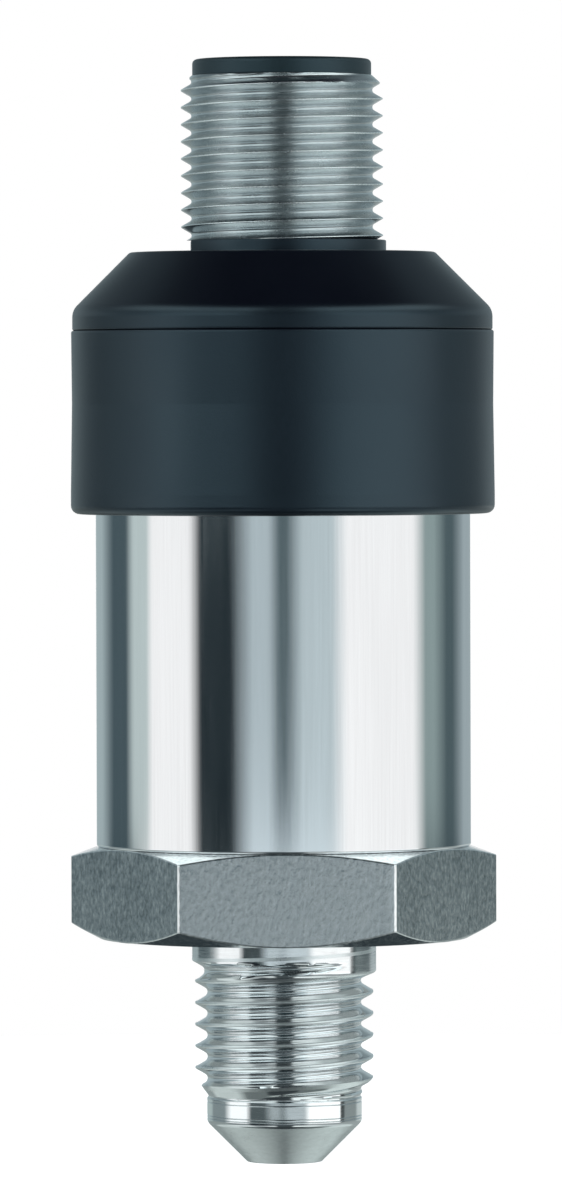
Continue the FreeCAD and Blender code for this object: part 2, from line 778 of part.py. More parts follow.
def pieces():
    """Every piece of the transmitter by name, each a solid or a list of separate solids."""
    made = {
        "process_connection": process_connection(),
        "measuring_cell": measuring_cell(),
        "case_tube": case_tube(),
        "cover_ring": cover_ring(),
        "connector_head": connector_head(),
        "threaded_sleeve": threaded_sleeve(),
        "board_carrier": board_carrier(),
        "contact_board": contact_board(),
        "bond_ribbons": bond_ribbons(),
        "main_board": main_board(),
        "flex_link": flex_link(),
        "connector_board": connector_board(),
        "header_bodies": header_bodies(),
        "header_posts": header_posts(),
        "signal_chip": signal_chip(),
        "output_driver": output_driver(),
        "voltage_regulator": voltage_regulator(),
        "filter_capacitors": filter_capacitors(),
        "chip_resistors": chip_resistors(),
        "suppressor_diodes": suppressor_diodes(),
    }
    for number, angle in enumerate(pin_angles(), 1):
        made[f"contact_pin_{number}"] = contact(angle)
    return made


def main():
    """Builds the pieces and writes one STEP file for each."""
    os.makedirs("parts", exist_ok=True)
    for name, shape in pieces().items():
        solids = shape if isinstance(shape, list) else shape.Solids
        whole = solids[0] if len(solids) == 1 else Part.makeCompound(solids)
        whole.exportStep(f"parts/{name}.step")


main()
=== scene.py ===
"""Looks of a compact pressure transmitter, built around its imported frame.

The visible pieces are skins wrapped round the axis: a turned connection with its hexagon and
flare thread, a drawn tube, a snapped-on cover ring, a moulded connector head, a threaded sleeve
and four contacts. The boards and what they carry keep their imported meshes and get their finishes.
Sizes are in millimetres, heights are read from the frame, and a skin's section is listed upwards
on the outside and downwards on the inside.
"""

import json
import logging
import math
from collections.abc import Callable
from dataclasses import dataclass, field
from enum import Enum, IntEnum
from functools import cache

import bmesh
import bpy
from mathutils import Matrix, Vector


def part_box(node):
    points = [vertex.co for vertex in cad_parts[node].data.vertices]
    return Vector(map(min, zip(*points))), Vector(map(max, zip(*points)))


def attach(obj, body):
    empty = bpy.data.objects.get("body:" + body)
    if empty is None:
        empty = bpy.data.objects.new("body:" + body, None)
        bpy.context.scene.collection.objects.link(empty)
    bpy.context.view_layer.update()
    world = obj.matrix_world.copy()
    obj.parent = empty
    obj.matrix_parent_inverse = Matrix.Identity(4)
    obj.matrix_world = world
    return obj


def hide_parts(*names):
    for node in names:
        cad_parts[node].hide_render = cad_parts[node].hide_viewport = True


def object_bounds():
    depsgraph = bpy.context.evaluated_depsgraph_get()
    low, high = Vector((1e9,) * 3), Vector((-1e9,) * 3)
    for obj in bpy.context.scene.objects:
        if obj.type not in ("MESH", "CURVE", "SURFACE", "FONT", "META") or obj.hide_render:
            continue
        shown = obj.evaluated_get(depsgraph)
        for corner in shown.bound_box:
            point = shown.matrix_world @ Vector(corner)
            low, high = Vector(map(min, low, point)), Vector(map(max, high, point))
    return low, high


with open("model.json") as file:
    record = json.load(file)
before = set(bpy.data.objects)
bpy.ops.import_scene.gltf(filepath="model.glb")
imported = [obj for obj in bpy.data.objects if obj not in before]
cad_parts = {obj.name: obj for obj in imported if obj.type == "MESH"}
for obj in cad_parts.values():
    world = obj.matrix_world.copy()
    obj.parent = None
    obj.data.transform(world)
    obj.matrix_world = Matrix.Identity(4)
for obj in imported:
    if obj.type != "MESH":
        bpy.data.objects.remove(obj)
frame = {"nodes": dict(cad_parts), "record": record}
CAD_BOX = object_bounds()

MM = 0.001
BODY = "root"
FULL_TURN = 2 * math.pi
TINY_LENGTH = 1e-9
TINY_TURN = 1e-4
MARGIN = 1e-6
ARC_STEPS = 4
FINE_ARC_STEPS = 6

# How far from its ends a straight stretch gets the points that keep its shading flat.
HOLD_DISTANCE = 0.04

# Points this near are welded, and edges this short dropped.
WELD_DISTANCE = 0.0008
COLLAPSE_DISTANCE = 0.0004
SHARP_DEGREES = 40.0

# A thread's flank: rise over run, and how far round a rounding's arc it starts.
FLANK_SLOPE = math.sqrt(3)
FLANK_ARC = math.radians(60)

# The middle of a noise, where nearly all its values lie, and the layers of a coarse one.
NOISE_LOW = 0.3
NOISE_HIGH = 0.7
CLOUD_DETAIL = 2.0

WHITE = (1.0, 1.0, 1.0, 1.0)

Colour = tuple[float, float, float]
Point = tuple[float, float]
Waves = tuple[float, float, float]

log = logging.getLogger("transmitter")


class Node(Enum):
    """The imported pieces, by the names that the frame gives them."""

    CONNECTION = "process_connection"
    TUBE = "case_tube"
    RING = "cover_ring"
    HEAD = "connector_head"
    SLEEVE = "threaded_sleeve"
    CONTACT_1 = "contact_pin_1"
    CONTACT_2 = "contact_pin_2"
    CONTACT_3 = "contact_pin_3"
    CONTACT_4 = "contact_pin_4"
    CELL = "measuring_cell"
    CARRIER = "board_carrier"
    CONTACT_BOARD = "contact_board"
    RIBBONS = "bond_ribbons"
    MAIN_BOARD = "main_board"
    FLEX = "flex_link"
    CONNECTOR_BOARD = "connector_board"
    HEADERS = "header_bodies"
    POSTS = "header_posts"
    SIGNAL_CHIP = "signal_chip"
    DRIVER = "output_driver"
    REGULATOR = "voltage_regulator"
    CAPACITORS = "filter_capacitors"
    RESISTORS = "chip_resistors"
    DIODES = "suppressor_diodes"


@cache
def foot_of(node: Node) -> float:
    """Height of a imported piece's lowest point, in millimetres."""
    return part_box(node.value)[0].z / MM


@cache
def top_of(node: Node) -> float:
    """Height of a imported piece's highest point, in millimetres."""
    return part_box(node.value)[1].z / MM


@cache
def reach_of(node: Node) -> float:
    """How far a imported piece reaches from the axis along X, in millimetres."""
    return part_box(node.value)[1].x / MM


# ------------------------------------------------------------------ sections


@dataclass(frozen=True)
class Corner:
    """A corner of a section: distance from the axis, height, and the radius that rounds it."""

    radius: float
    height: float
    rounding: float = 0.0


def fillet(
    before: Vector, corner: Vector, after: Vector, rounding: float, steps: int
) -> list[Vector]:
    """Replaces a corner by points along the arc that is tangent to both of its sides.

    Args:
        before: The point before the corner.
        corner: The corner itself.
        after: The point after it.
        rounding: Radius of the arc.
        steps: How many spans the arc has.

    Returns:
        steps + 1 points, all at the corner where there is nothing to round.
    """
    into, out = corner - before, after - corner
    sharp = [corner.copy() for _ in range(steps + 1)]
    if rounding <= 0 or into.length < TINY_LENGTH or out.length < TINY_LENGTH:
        return sharp
    into.normalize()
    out.normalize()
    turn = into.angle_signed(out)
    half = abs(turn) / 2
    if half < TINY_TURN:
        return sharp
    start = corner - into * (rounding * math.tan(half))
    centre = start + Vector((into.y, -into.x)) * math.copysign(rounding, turn)
    arm = start - centre
    return [centre + Matrix.Rotation(-turn * i / steps, 2) @ arm for i in range(steps + 1)]


def rounded(corners: list[Corner], steps: int = ARC_STEPS) -> list[Point]:
    """The section through some corners, with each rounded corner drawn as an arc.

    Every straight stretch gets a point near each of its ends, which keeps its shading flat.

    Args:
        corners: The section's corners in order.
        steps: How many spans each arc has.

    Returns:
        Points as (radius, height), in a number that depends only on which corners are rounded.
    """
    places = [Vector((c.radius, c.height)) for c in corners]
    bends = []
    for i, corner in enumerate(corners):
        if corner.rounding > 0:
            before, after = places[i - 1], places[(i + 1) % len(places)]
            bends.append(fillet(before, places[i], after, corner.rounding, steps))
        else:
            bends.append([places[i]])
    points: list[Point] = []
    for i, bend in enumerate(bends):
        points += [tuple(p) for p in bend]
        if i + 1 < len(bends):
            start, end = bend[-1], bends[i + 1][0]
            share = min(1 / 3, HOLD_DISTANCE / max((end - start).length, MARGIN))
            points += [tuple(start.lerp(end, share)), tuple(end.lerp(start, share))]
    return points


def eased(share: float) -> float:
    """A share from 0 to 1 that starts and ends level."""
    share = min(1.0, max(0.0, share))
    return share * share * (3 - 2 * share)


@dataclass(frozen=True)
class Helix:
    """Rows of a skin that climb as they go round, and which spans of a turn are its crest."""

    first: int
    last: int
    climb: int
    crest: list[int]

    def on_crest(self, row: int) -> bool:
        """Whether the span that starts at a row lies on the crest."""
        return self.first <= row < self.last and (row - self.first) % self.climb in self.crest


@dataclass(frozen=True)
class Thread:
    """A right-handed thread with 60 degree flanks, rounded at the root and at the crest.

    Heights of grooves are counted from the groove whose middle stands at phase_height on the +X
    side. A groove runs out between the turns runout_start and runout_end, counted in the same way.
    """

    pitch: float
    crest_radius: float
    root_rounding: float
    crest_rounding: float
    phase_height: float
    runout_start: float = math.inf
    runout_end: float = math.inf

    @property
    def peak(self) -> float:
        """Height of the sharp triangle that the flanks would form."""
        return self.pitch / 2 * FLANK_SLOPE

    def flank_places(self) -> list[float]:
        """Where a turn's section has its points.

        Returns:
            Shares of the pitch, from one groove's middle to the next.
        """
        half = self.pitch / 2
        root = [self.root_rounding * math.sin(FLANK_ARC * t) for t in (0, 1 / 3, 2 / 3, 1)]
        crest = [half - self.crest_rounding * math.sin(FLANK_ARC * t) for t in (1, 1 / 2, 0)]
        flank = [root[-1] + (crest[0] - root[-1]) * t for t in (1 / 3, 2 / 3)]
        rising = root + flank + crest
        falling = [self.pitch - s for s in reversed(rising[1:-1])]
        return [s / self.pitch for s in rising + falling]

    def crest_rows(self) -> list[int]:
        """Which spans of a turn's section lie on the rounded crest.

        Returns:
            The numbers of their lower points.
        """
        places = self.flank_places()
        reach = self.crest_rounding * math.sin(FLANK_ARC) / self.pitch + MARGIN
        on_crest = [abs(place - 0.5) <= reach for place in places]
        return [i for i in range(len(places) - 1) if on_crest[i] and on_crest[i + 1]]

    def rows(
        self, low: float, high: float, turn: float, surface: Callable[[float, float], float]
    ) -> list[Point]:
        """Section points up a threaded stretch, in the same number at every angle.

        Args:
            low: The stretch's lower end.
            high: Its upper end.
            turn: The angle about the axis as a share of a turn.
            surface: Gives the radius from a height and that share.

        Returns:
            Points as (radius, height), gathered at the ends where the thread reaches past them.
        """
        count = math.ceil((high - low) / self.pitch) + 3
        start = math.floor((low - self.phase_height) / self.pitch) - 1
        points: list[Point] = []
        for k in range(count):
            for share in self.flank_places():
                height = self.phase_height + (start + k + share + turn) * self.pitch
                height = min(high, max(low, height))
                points.append((surface(height, turn), height))
        return points

    def helix(self, first: int, rows: list[Point]) -> Helix:
        """The climbing rows of a skin whose section has the thread's points from a row on."""
        return Helix(first, first + len(rows) - 1, len(self.flank_places()), self.crest_rows())

    def depth(self, distance: float) -> float:
        """How far below the crest the groove's surface lies.

        Args:
            distance: Distance from the groove's middle, along the axis.

        Returns:
            The depth, 0 on the crest itself.
        """
        root, crest = self.root_rounding, self.crest_rounding
        from_crest = self.pitch / 2 - distance
        if distance < root * math.sin(FLANK_ARC):
            rise = 2 * root - math.sqrt(root * root - distance * distance)
        elif from_crest < crest * math.sin(FLANK_ARC):
            rise = self.peak - 2 * crest + math.sqrt(crest * crest - from_crest * from_crest)
        else:
            rise = distance * FLANK_SLOPE
        return max(0.0, self.peak - crest - rise)

    def radius(self, height: float, turn: float) -> float:
        """Radius of the threaded surface.

        Args:
            height: Height of the point.
            turn: Its angle about the axis as a share of a turn.

        Returns:
            The distance from the axis.
        """
        turns = (height - self.phase_height) / self.pitch - turn
        groove = round(turns)
        depth = self.depth(abs(turns - groove) * self.pitch)
        total = groove + turn
        if total > self.runout_start:
            left = (self.runout_end - total) / (self.runout_end - self.runout_start)
            full = self.peak - self.crest_rounding - self.root_rounding
            depth = max(0.0, depth - (1 - max(0.0, left)) * full)
        return self.crest_radius - depth


# ------------------------------------------------------------------ skins


@dataclass
class Skin:
    """A closed mesh made of sections that stand side by side round the axis.

    columns holds one section per angle, as (radius, height) points in the same number, and
    row_finishes one finish index per span of a section.
    """

    name: str
    angles: list[float]
    columns: list[list[Point]]
    helix: Helix | None = None
    row_finishes: list[int] = field(default_factory=list)

    def next_row(self, row: int, wraps: bool) -> int:
        """The row that a row meets in the next column, which is higher where a helix closes.

        Args:
            row: The row.
            wraps: Whether the next column is the first one again.

        Returns:
            The row's number in the next column.
        """
        helix = self.helix
        if not wraps or helix is None or not helix.first <= row <= helix.last:
            return row
        return min(row + helix.climb, helix.last)

    def fill(self, mesh: bmesh.types.BMesh) -> None:
        """Adds the skin's vertices and faces to a mesh, leaving out faces without area.

        Args:
            mesh: The mesh, in metres.
        """
        rows, count = len(self.columns[0]), len(self.angles)
        grid = []
        for angle, column in zip(self.angles, self.columns):
            c, s = math.cos(angle), math.sin(angle)
            grid.append([mesh.verts.new((r * c * MM, r * s * MM, z * MM)) for r, z in column])
        for j in range(count):
            wraps = j == count - 1
            following = grid[(j + 1) % count]
            for i in range(rows):
                above = (i + 1) % rows
                ring = [grid[j][i], following[self.next_row(i, wraps)]]
                ring += [following[self.next_row(above, wraps)], grid[j][above]]
                corners = [v for k, v in enumerate(ring) if v not in ring[:k]]
                if len(corners) > 2:
                    face = mesh.faces.new(corners)
                    face.material_index = self.row_finishes[i] if self.row_finishes else 0

    def build(self) -> bpy.types.Object:
        """Makes the object.

        Returns:
            The new object, in metres, linked to the scene.
        """
        mesh = bmesh.new()
        self.fill(mesh)
        bmesh.ops.remove_doubles(mesh, verts=mesh.verts, dist=WELD_DISTANCE * MM)
        bmesh.ops.dissolve_degenerate(mesh, edges=mesh.edges, dist=COLLAPSE_DISTANCE * MM)
        bmesh.ops.recalc_face_normals(mesh, faces=mesh.faces)
        data = bpy.data.meshes.new(self.name)
        mesh.to_mesh(data)
        mesh.free()
        data.shade_smooth()
        data.set_sharp_from_angle(angle=math.radians(SHARP_DEGREES))
        made = bpy.data.objects.new(self.name, data)
        bpy.context.scene.collection.objects.link(made)
        return made


def even_angles(count: int) -> list[float]:
    """Angles spread evenly over a full turn, in radians."""
    return [FULL_TURN * i / count for i in range(count)]


def revolved(name: str, section: list[Point], count: int) -> Skin:
    """A skin with the same section all the way round."""
    angles = even_angles(count)
    return Skin(name, angles, [list(section) for _ in angles])


def along(start: Vector, end: Vector, step: float) -> list[Vector]:
    """Points between two others, no further apart than a step."""
    spans = max(1, math.ceil((end - start).length / step))
    return [start.lerp(end, i / spans) for i in range(1, spans)]


def polygon_outline(
    flats: float, corner_radius: float, rounding: float, sides: int, step: float
) -> list[Vector]:
    """Outline of a bar with equal flats and corners turned down to a radius.

    Args:
        flats: Width across the flats.
        corner_radius: Radius that the corners are turned down to.
        rounding: Radius of the edges between a flat and a turned corner.
        sides: How many flats there are, the first facing -Y.
        step: Longest span between two points of a flat.

    Returns:
        Points in the XY plane, counter-clockwise.
    """
    half_angle = math.acos(min(1.0, flats / 2 / corner_radius))
    corners = []
    for i in range(sides):
        middle = -math.pi / 2 + FULL_TURN * i / sides
        for a in (middle - half_angle, middle + half_angle):
            corners.append(Vector((corner_radius * math.cos(a), corner_radius * math.sin(a))))
    outline: list[Vector] = []
    for i, corner in enumerate(corners):
        arc = fillet(corners[i - 1], corner, corners[(i + 1) % len(corners)], rounding, ARC_STEPS)
        if outline:
            outline += along(outline[-1], arc[0], step)
        outline += arc
    outline += along(outline[-1], outline[0], step)
    return outline


# ------------------------------------------------------------------ finishes


Value = float | tuple[float, ...] | bpy.types.NodeSocket


class Sheet:
    """A node tree, with short ways to add nodes and join them."""

    def __init__(self, tree: bpy.types.NodeTree) -> None:
        """Starts on a node tree."""
        self.tree = tree

    def feed(self, target: bpy.types.NodeSocket, value: Value) -> None:
        """Joins an output to an input, or sets the input to a plain value.

        Args:
            target: The input.
            value: The output or the value.
        """
        if isinstance(value, bpy.types.NodeSocket):
            self.tree.links.new(value, target)
        else:
            target.default_value = value

    def add(self, kind: str, *inputs: Value, **named: Value) -> bpy.types.Node:
        """Adds a node.

        Args:
            kind: Its type, without the beginning that all of them share.
            inputs: What its first inputs get, in order.
            named: What inputs get by name, with _ for a space.

        Returns:
            The new node.
        """
        node = self.tree.nodes.new("ShaderNode" + kind)
        for i, value in enumerate(inputs):
            self.feed(node.inputs[i], value)
        for name, value in named.items():
            self.feed(node.inputs[name.replace("_", " ")], value)
        return node

    def worked_out(self, operation: str, *terms: Value) -> bpy.types.NodeSocket:
        """Works out a sum, a product or the like.

        Args:
            operation: The math node's operation.
            terms: Sockets or plain numbers.

        Returns:
            The socket with the result.
        """
        node = self.add("Math", *terms)
        node.operation = operation
        return node.outputs["Value"]


class Surface(Sheet):
    """A material's node tree, with its principled shader and the piece's own coordinates."""

    def __init__(self, name: str) -> None:
        """Starts a material.

        Args:
            name: The material's name.
        """
        self.material = bpy.data.materials.new(name)
        self.material.use_nodes = True
        super().__init__(self.material.node_tree)
        self.shader = self.tree.nodes["Principled BSDF"]
        self.place = self.add("TexCoord").outputs["Object"]

    def set(self, **values: Value) -> None:
        """Sets or joins the shader's own inputs, with _ for a space in an input's name."""
        for name, value in values.items():
            self.feed(self.shader.inputs[name.replace("_", " ")], value)

    def noise(self, waves: Waves, detail: float) -> bpy.types.NodeSocket:
        """A noise over the piece.

        Args:
            waves: Waves per millimetre along X, Y and Z.
            detail: How many finer layers it has.

        Returns:
            The socket with its value, from 0 to 1.
        """
        spaced = self.add("Mapping", self.place, Scale=tuple(w / MM for w in waves))
        texture = self.add("TexNoise", spaced.outputs["Vector"], Scale=1.0, Detail=detail)
        return texture.outputs["Fac"]

    def ranged(self, value: bpy.types.NodeSocket, low: float, high: float) -> bpy.types.NodeSocket:
        """Spreads the middle of a noise from a low number to a high one."""
        return self.add("MapRange", value, NOISE_LOW, NOISE_HIGH, low, high).outputs["Result"]

    def tint(
        self, value: bpy.types.NodeSocket, dark: Colour, light: Colour
    ) -> bpy.types.NodeSocket:
        """Turns the middle of a noise into a colour between two.

        Args:
            value: The noise.
            dark: Colour where it is low.
            light: Colour where it is high.

        Returns:
            The socket with the colour.
        """
        ramp = self.add("ValToRGB", value)
        stops = ramp.color_ramp.elements
        for stop, place, colour in zip(stops, (NOISE_LOW, NOISE_HIGH), (dark, light)):
            stop.position = place
            stop.color = (*colour, 1)
        return ramp.outputs["Color"]


def scaled(colour: Colour, share: float) -> Colour:
    """A colour made lighter or darker by a share, up to full."""
    return tuple(min(1.0, c * share) for c in colour)


@dataclass(frozen=True)
class Finish:
    """A surface: its colour and how far it varies, its gloss, and the grain of its relief.

    grain and cloud are waves per millimetre along X, Y and Z. The grain drives the relief, the
    cloud is a coarser variation of tone, and both vary the colour and the gloss.
    """

    name: str
    colour: Colour
    roughness: float
    metallic: float = 0.0
    specular: float = 0.5
    specular_tint: Colour = (1.0, 1.0, 1.0)
    mottle: float = 0.08
    roughness_spread: float = 0.04
    grain: Waves = (6.0, 6.0, 6.0)
    grain_height: float = 0.002
    grain_detail: float = 3.0
    cloud: Waves = (0.25, 0.25, 0.25)
    cloud_share: float = 0.5

    def material(self) -> bpy.types.Material:
        """Builds the finish as a material.

        Returns:
            The new material.
        """
        surface = Surface(self.name)
        grain = surface.noise(self.grain, self.grain_detail)
        cloud = surface.noise(self.cloud, CLOUD_DETAIL)
        both = surface.add("Mix", Factor=self.cloud_share, A=grain, B=cloud).outputs["Result"]
        dark, light = scaled(self.colour, 1 - self.mottle), scaled(self.colour, 1 + self.mottle)
        spread = self.roughness_spread
        surface.set(
            Metallic=self.metallic,
            Specular_IOR_Level=self.specular,
            Specular_Tint=(*self.specular_tint, 1.0),
            Base_Color=surface.tint(both, dark, light),
            Roughness=surface.ranged(both, self.roughness - spread, self.roughness + spread),
        )
        if self.grain_height > 0:
            relief = surface.add("Bump", Height=grain, Distance=self.grain_height * MM)
            surface.set(Normal=relief.outputs["Normal"])
        return surface.material


TUBE_STEEL = Finish(
    "drawn tube steel", (0.85, 0.86, 0.87), 0.07, metallic=1.0, mottle=0.04,
    roughness_spread=0.02, grain=(9.0, 9.0, 0.12), grain_height=0.0004, cloud=(0.5, 0.5, 0.05),
)
HEX_STEEL = Finish(
    "satin bar steel", (0.82, 0.85, 0.86), 0.17, metallic=1.0, mottle=0.22, roughness_spread=0.06,
    grain=(4.4, 4.4, 2.6), grain_height=0.009, grain_detail=4.0, cloud=(0.5, 0.5, 0.25),
    cloud_share=0.25,
)
NIPPLE_STEEL = Finish(
    "turned nipple steel", (0.8, 0.815, 0.82), 0.09, metallic=1.0, mottle=0.05,
    roughness_spread=0.03, grain=(0.6, 0.6, 7.0), grain_height=0.0006, cloud=(1.6, 1.6, 1.6),
)
# Painted highlight: the crest's lighter colour stands in for the bright lines that the crests
# reflect.
NIPPLE_CREST_HIGHLIGHT_STEEL = Finish(
    "nipple crest painted highlight", (0.88, 0.9, 0.9), 0.3, metallic=1.0, mottle=0.06, grain_height=0.0,
)
FLARE_STEEL = Finish(
    "turned flare steel", (0.72, 0.74, 0.74), 0.32, metallic=1.0, mottle=0.16,
    roughness_spread=0.06, grain=(2.5, 2.5, 6.0), grain_height=0.004, cloud=(0.8, 0.8, 1.1),
)
SLEEVE_STEEL = Finish(
    "rolled thread steel", (0.6, 0.635, 0.645), 0.24, metallic=1.0, mottle=0.1,
    roughness_spread=0.05, grain=(2.0, 2.0, 6.0), grain_height=0.0006, cloud=(0.5, 0.5, 0.8),
)
# Painted highlight: the crest's far lighter colour stands in for the bright lines that the crests
# reflect.
SLEEVE_CREST_HIGHLIGHT_STEEL = Finish(
    "thread crest painted highlight", (0.92, 0.96, 0.97), 0.27, metallic=1.0, mottle=0.06, grain_height=0.0,
)
RING_PLASTIC = Finish(
    "spark-eroded ring plastic", (0.004, 0.005, 0.011), 0.33, specular=0.85,
    specular_tint=(0.6, 0.85, 1.0), mottle=0.2, grain=(9.0, 9.0, 9.0), grain_height=0.004,
    grain_detail=4.0, cloud=(0.2, 0.2, 0.2),
)
HEAD_PLASTIC = Finish(
    "spark-eroded head plastic", (0.0025, 0.0025, 0.0075), 0.33, specular=0.8,
    specular_tint=(0.6, 0.85, 1.0), mottle=0.2, grain=(9.0, 9.0, 9.0), grain_height=0.003,
    cloud=(0.2, 0.2, 0.2),
)
# Painted light: the rim's lighter, bluer colour stands in for the bright upper panels that it
# reflects.
RIM_PLASTIC_PAINTED_LIGHT = Finish(
    "rim plastic lightened as painted light", (0.014, 0.024, 0.028), 0.4, specular=0.7, specular_tint=(0.6, 0.85, 1.0),
    mottle=0.16, grain=(7.0, 7.0, 7.0), grain_height=0.003, cloud=(0.3, 0.3, 0.3),
)
CONTACT_GOLD = Finish(
    "plated contact gold", (0.86, 0.62, 0.26), 0.16, metallic=1.0, mottle=0.05,
    grain=(4.0, 4.0, 14.0), grain_height=0.0008,
)
CELL_STEEL = Finish(
    "turned cell steel", (0.6, 0.61, 0.62), 0.28, metallic=1.0, grain=(0.6, 0.6, 8.0),
    grain_height=0.002,
)
CARRIER_PLASTIC = Finish(
    "moulded carrier plastic", (0.035, 0.035, 0.038), 0.5, grain=(7.0, 7.0, 7.0),
    grain_height=0.003,
)
BOARD_LACQUER = Finish(
    "green board lacquer", (0.012, 0.11, 0.045), 0.3, mottle=0.16, grain=(1.6, 1.6, 1.6),
    grain_height=0.004, cloud=(0.15, 0.15, 0.15),
)
FLEX_FILM = Finish(
    "amber film", (0.45, 0.2, 0.03), 0.24, mottle=0.1, grain=(1.2, 1.2, 1.2), grain_height=0.002,
)
RIBBON_GOLD = Finish(
    "ribbon gold", (0.86, 0.66, 0.33), 0.22, metallic=1.0, mottle=0.06, grain=(9.0, 9.0, 9.0),
    grain_height=0.0005,
)
HEADER_PLASTIC = Finish(
    "header plastic", (0.012, 0.012, 0.012), 0.45, grain=(8.0, 8.0, 8.0), grain_height=0.003,
)
POST_TIN = Finish(
    "tinned post", (0.76, 0.76, 0.74), 0.3, metallic=1.0, grain=(6.0, 6.0, 2.0),
    grain_height=0.002,
)
CHIP_RESIN = Finish(
    "chip resin", (0.014, 0.014, 0.016), 0.52, mottle=0.2, grain=(12.0, 12.0, 12.0),
    grain_height=0.003,
)
CAPACITOR_CERAMIC = Finish(
    "capacitor ceramic", (0.35, 0.23, 0.12), 0.4, mottle=0.14, grain=(10.0, 10.0, 10.0),
    grain_height=0.002,
)
RESISTOR_CERAMIC = Finish(
    "resistor ceramic", (0.02, 0.02, 0.024), 0.25, mottle=0.2, grain=(8.0, 8.0, 8.0),
    grain_height=0.001,
)
DIODE_RESIN = Finish(
    "diode resin", (0.02, 0.02, 0.021), 0.48, mottle=0.2, grain=(10.0, 10.0, 10.0),
    grain_height=0.003,
)


def dress(piece: bpy.types.Object, slot: str, node: Node, *finishes: Finish) -> bpy.types.Object:
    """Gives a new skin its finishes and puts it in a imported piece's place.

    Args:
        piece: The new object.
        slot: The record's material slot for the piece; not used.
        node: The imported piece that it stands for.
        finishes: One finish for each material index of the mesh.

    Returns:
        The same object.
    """
    for finish in finishes:
        piece.data.materials.append(finish.material())
    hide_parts(node.value)
    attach(piece, BODY)
    log.info("%s: %d faces", piece.name, len(piece.data.polygons))
    return piece


# ------------------------------------------------------------------ process connection


class Zone(IntEnum):
    """Zones of the turned connection, numbered in the order of its finishes."""

    HEXAGON = 0
    FLARE = 1
    NIPPLE = 2
    # The crest's spans take the finish with the painted highlight.
    CREST = 3


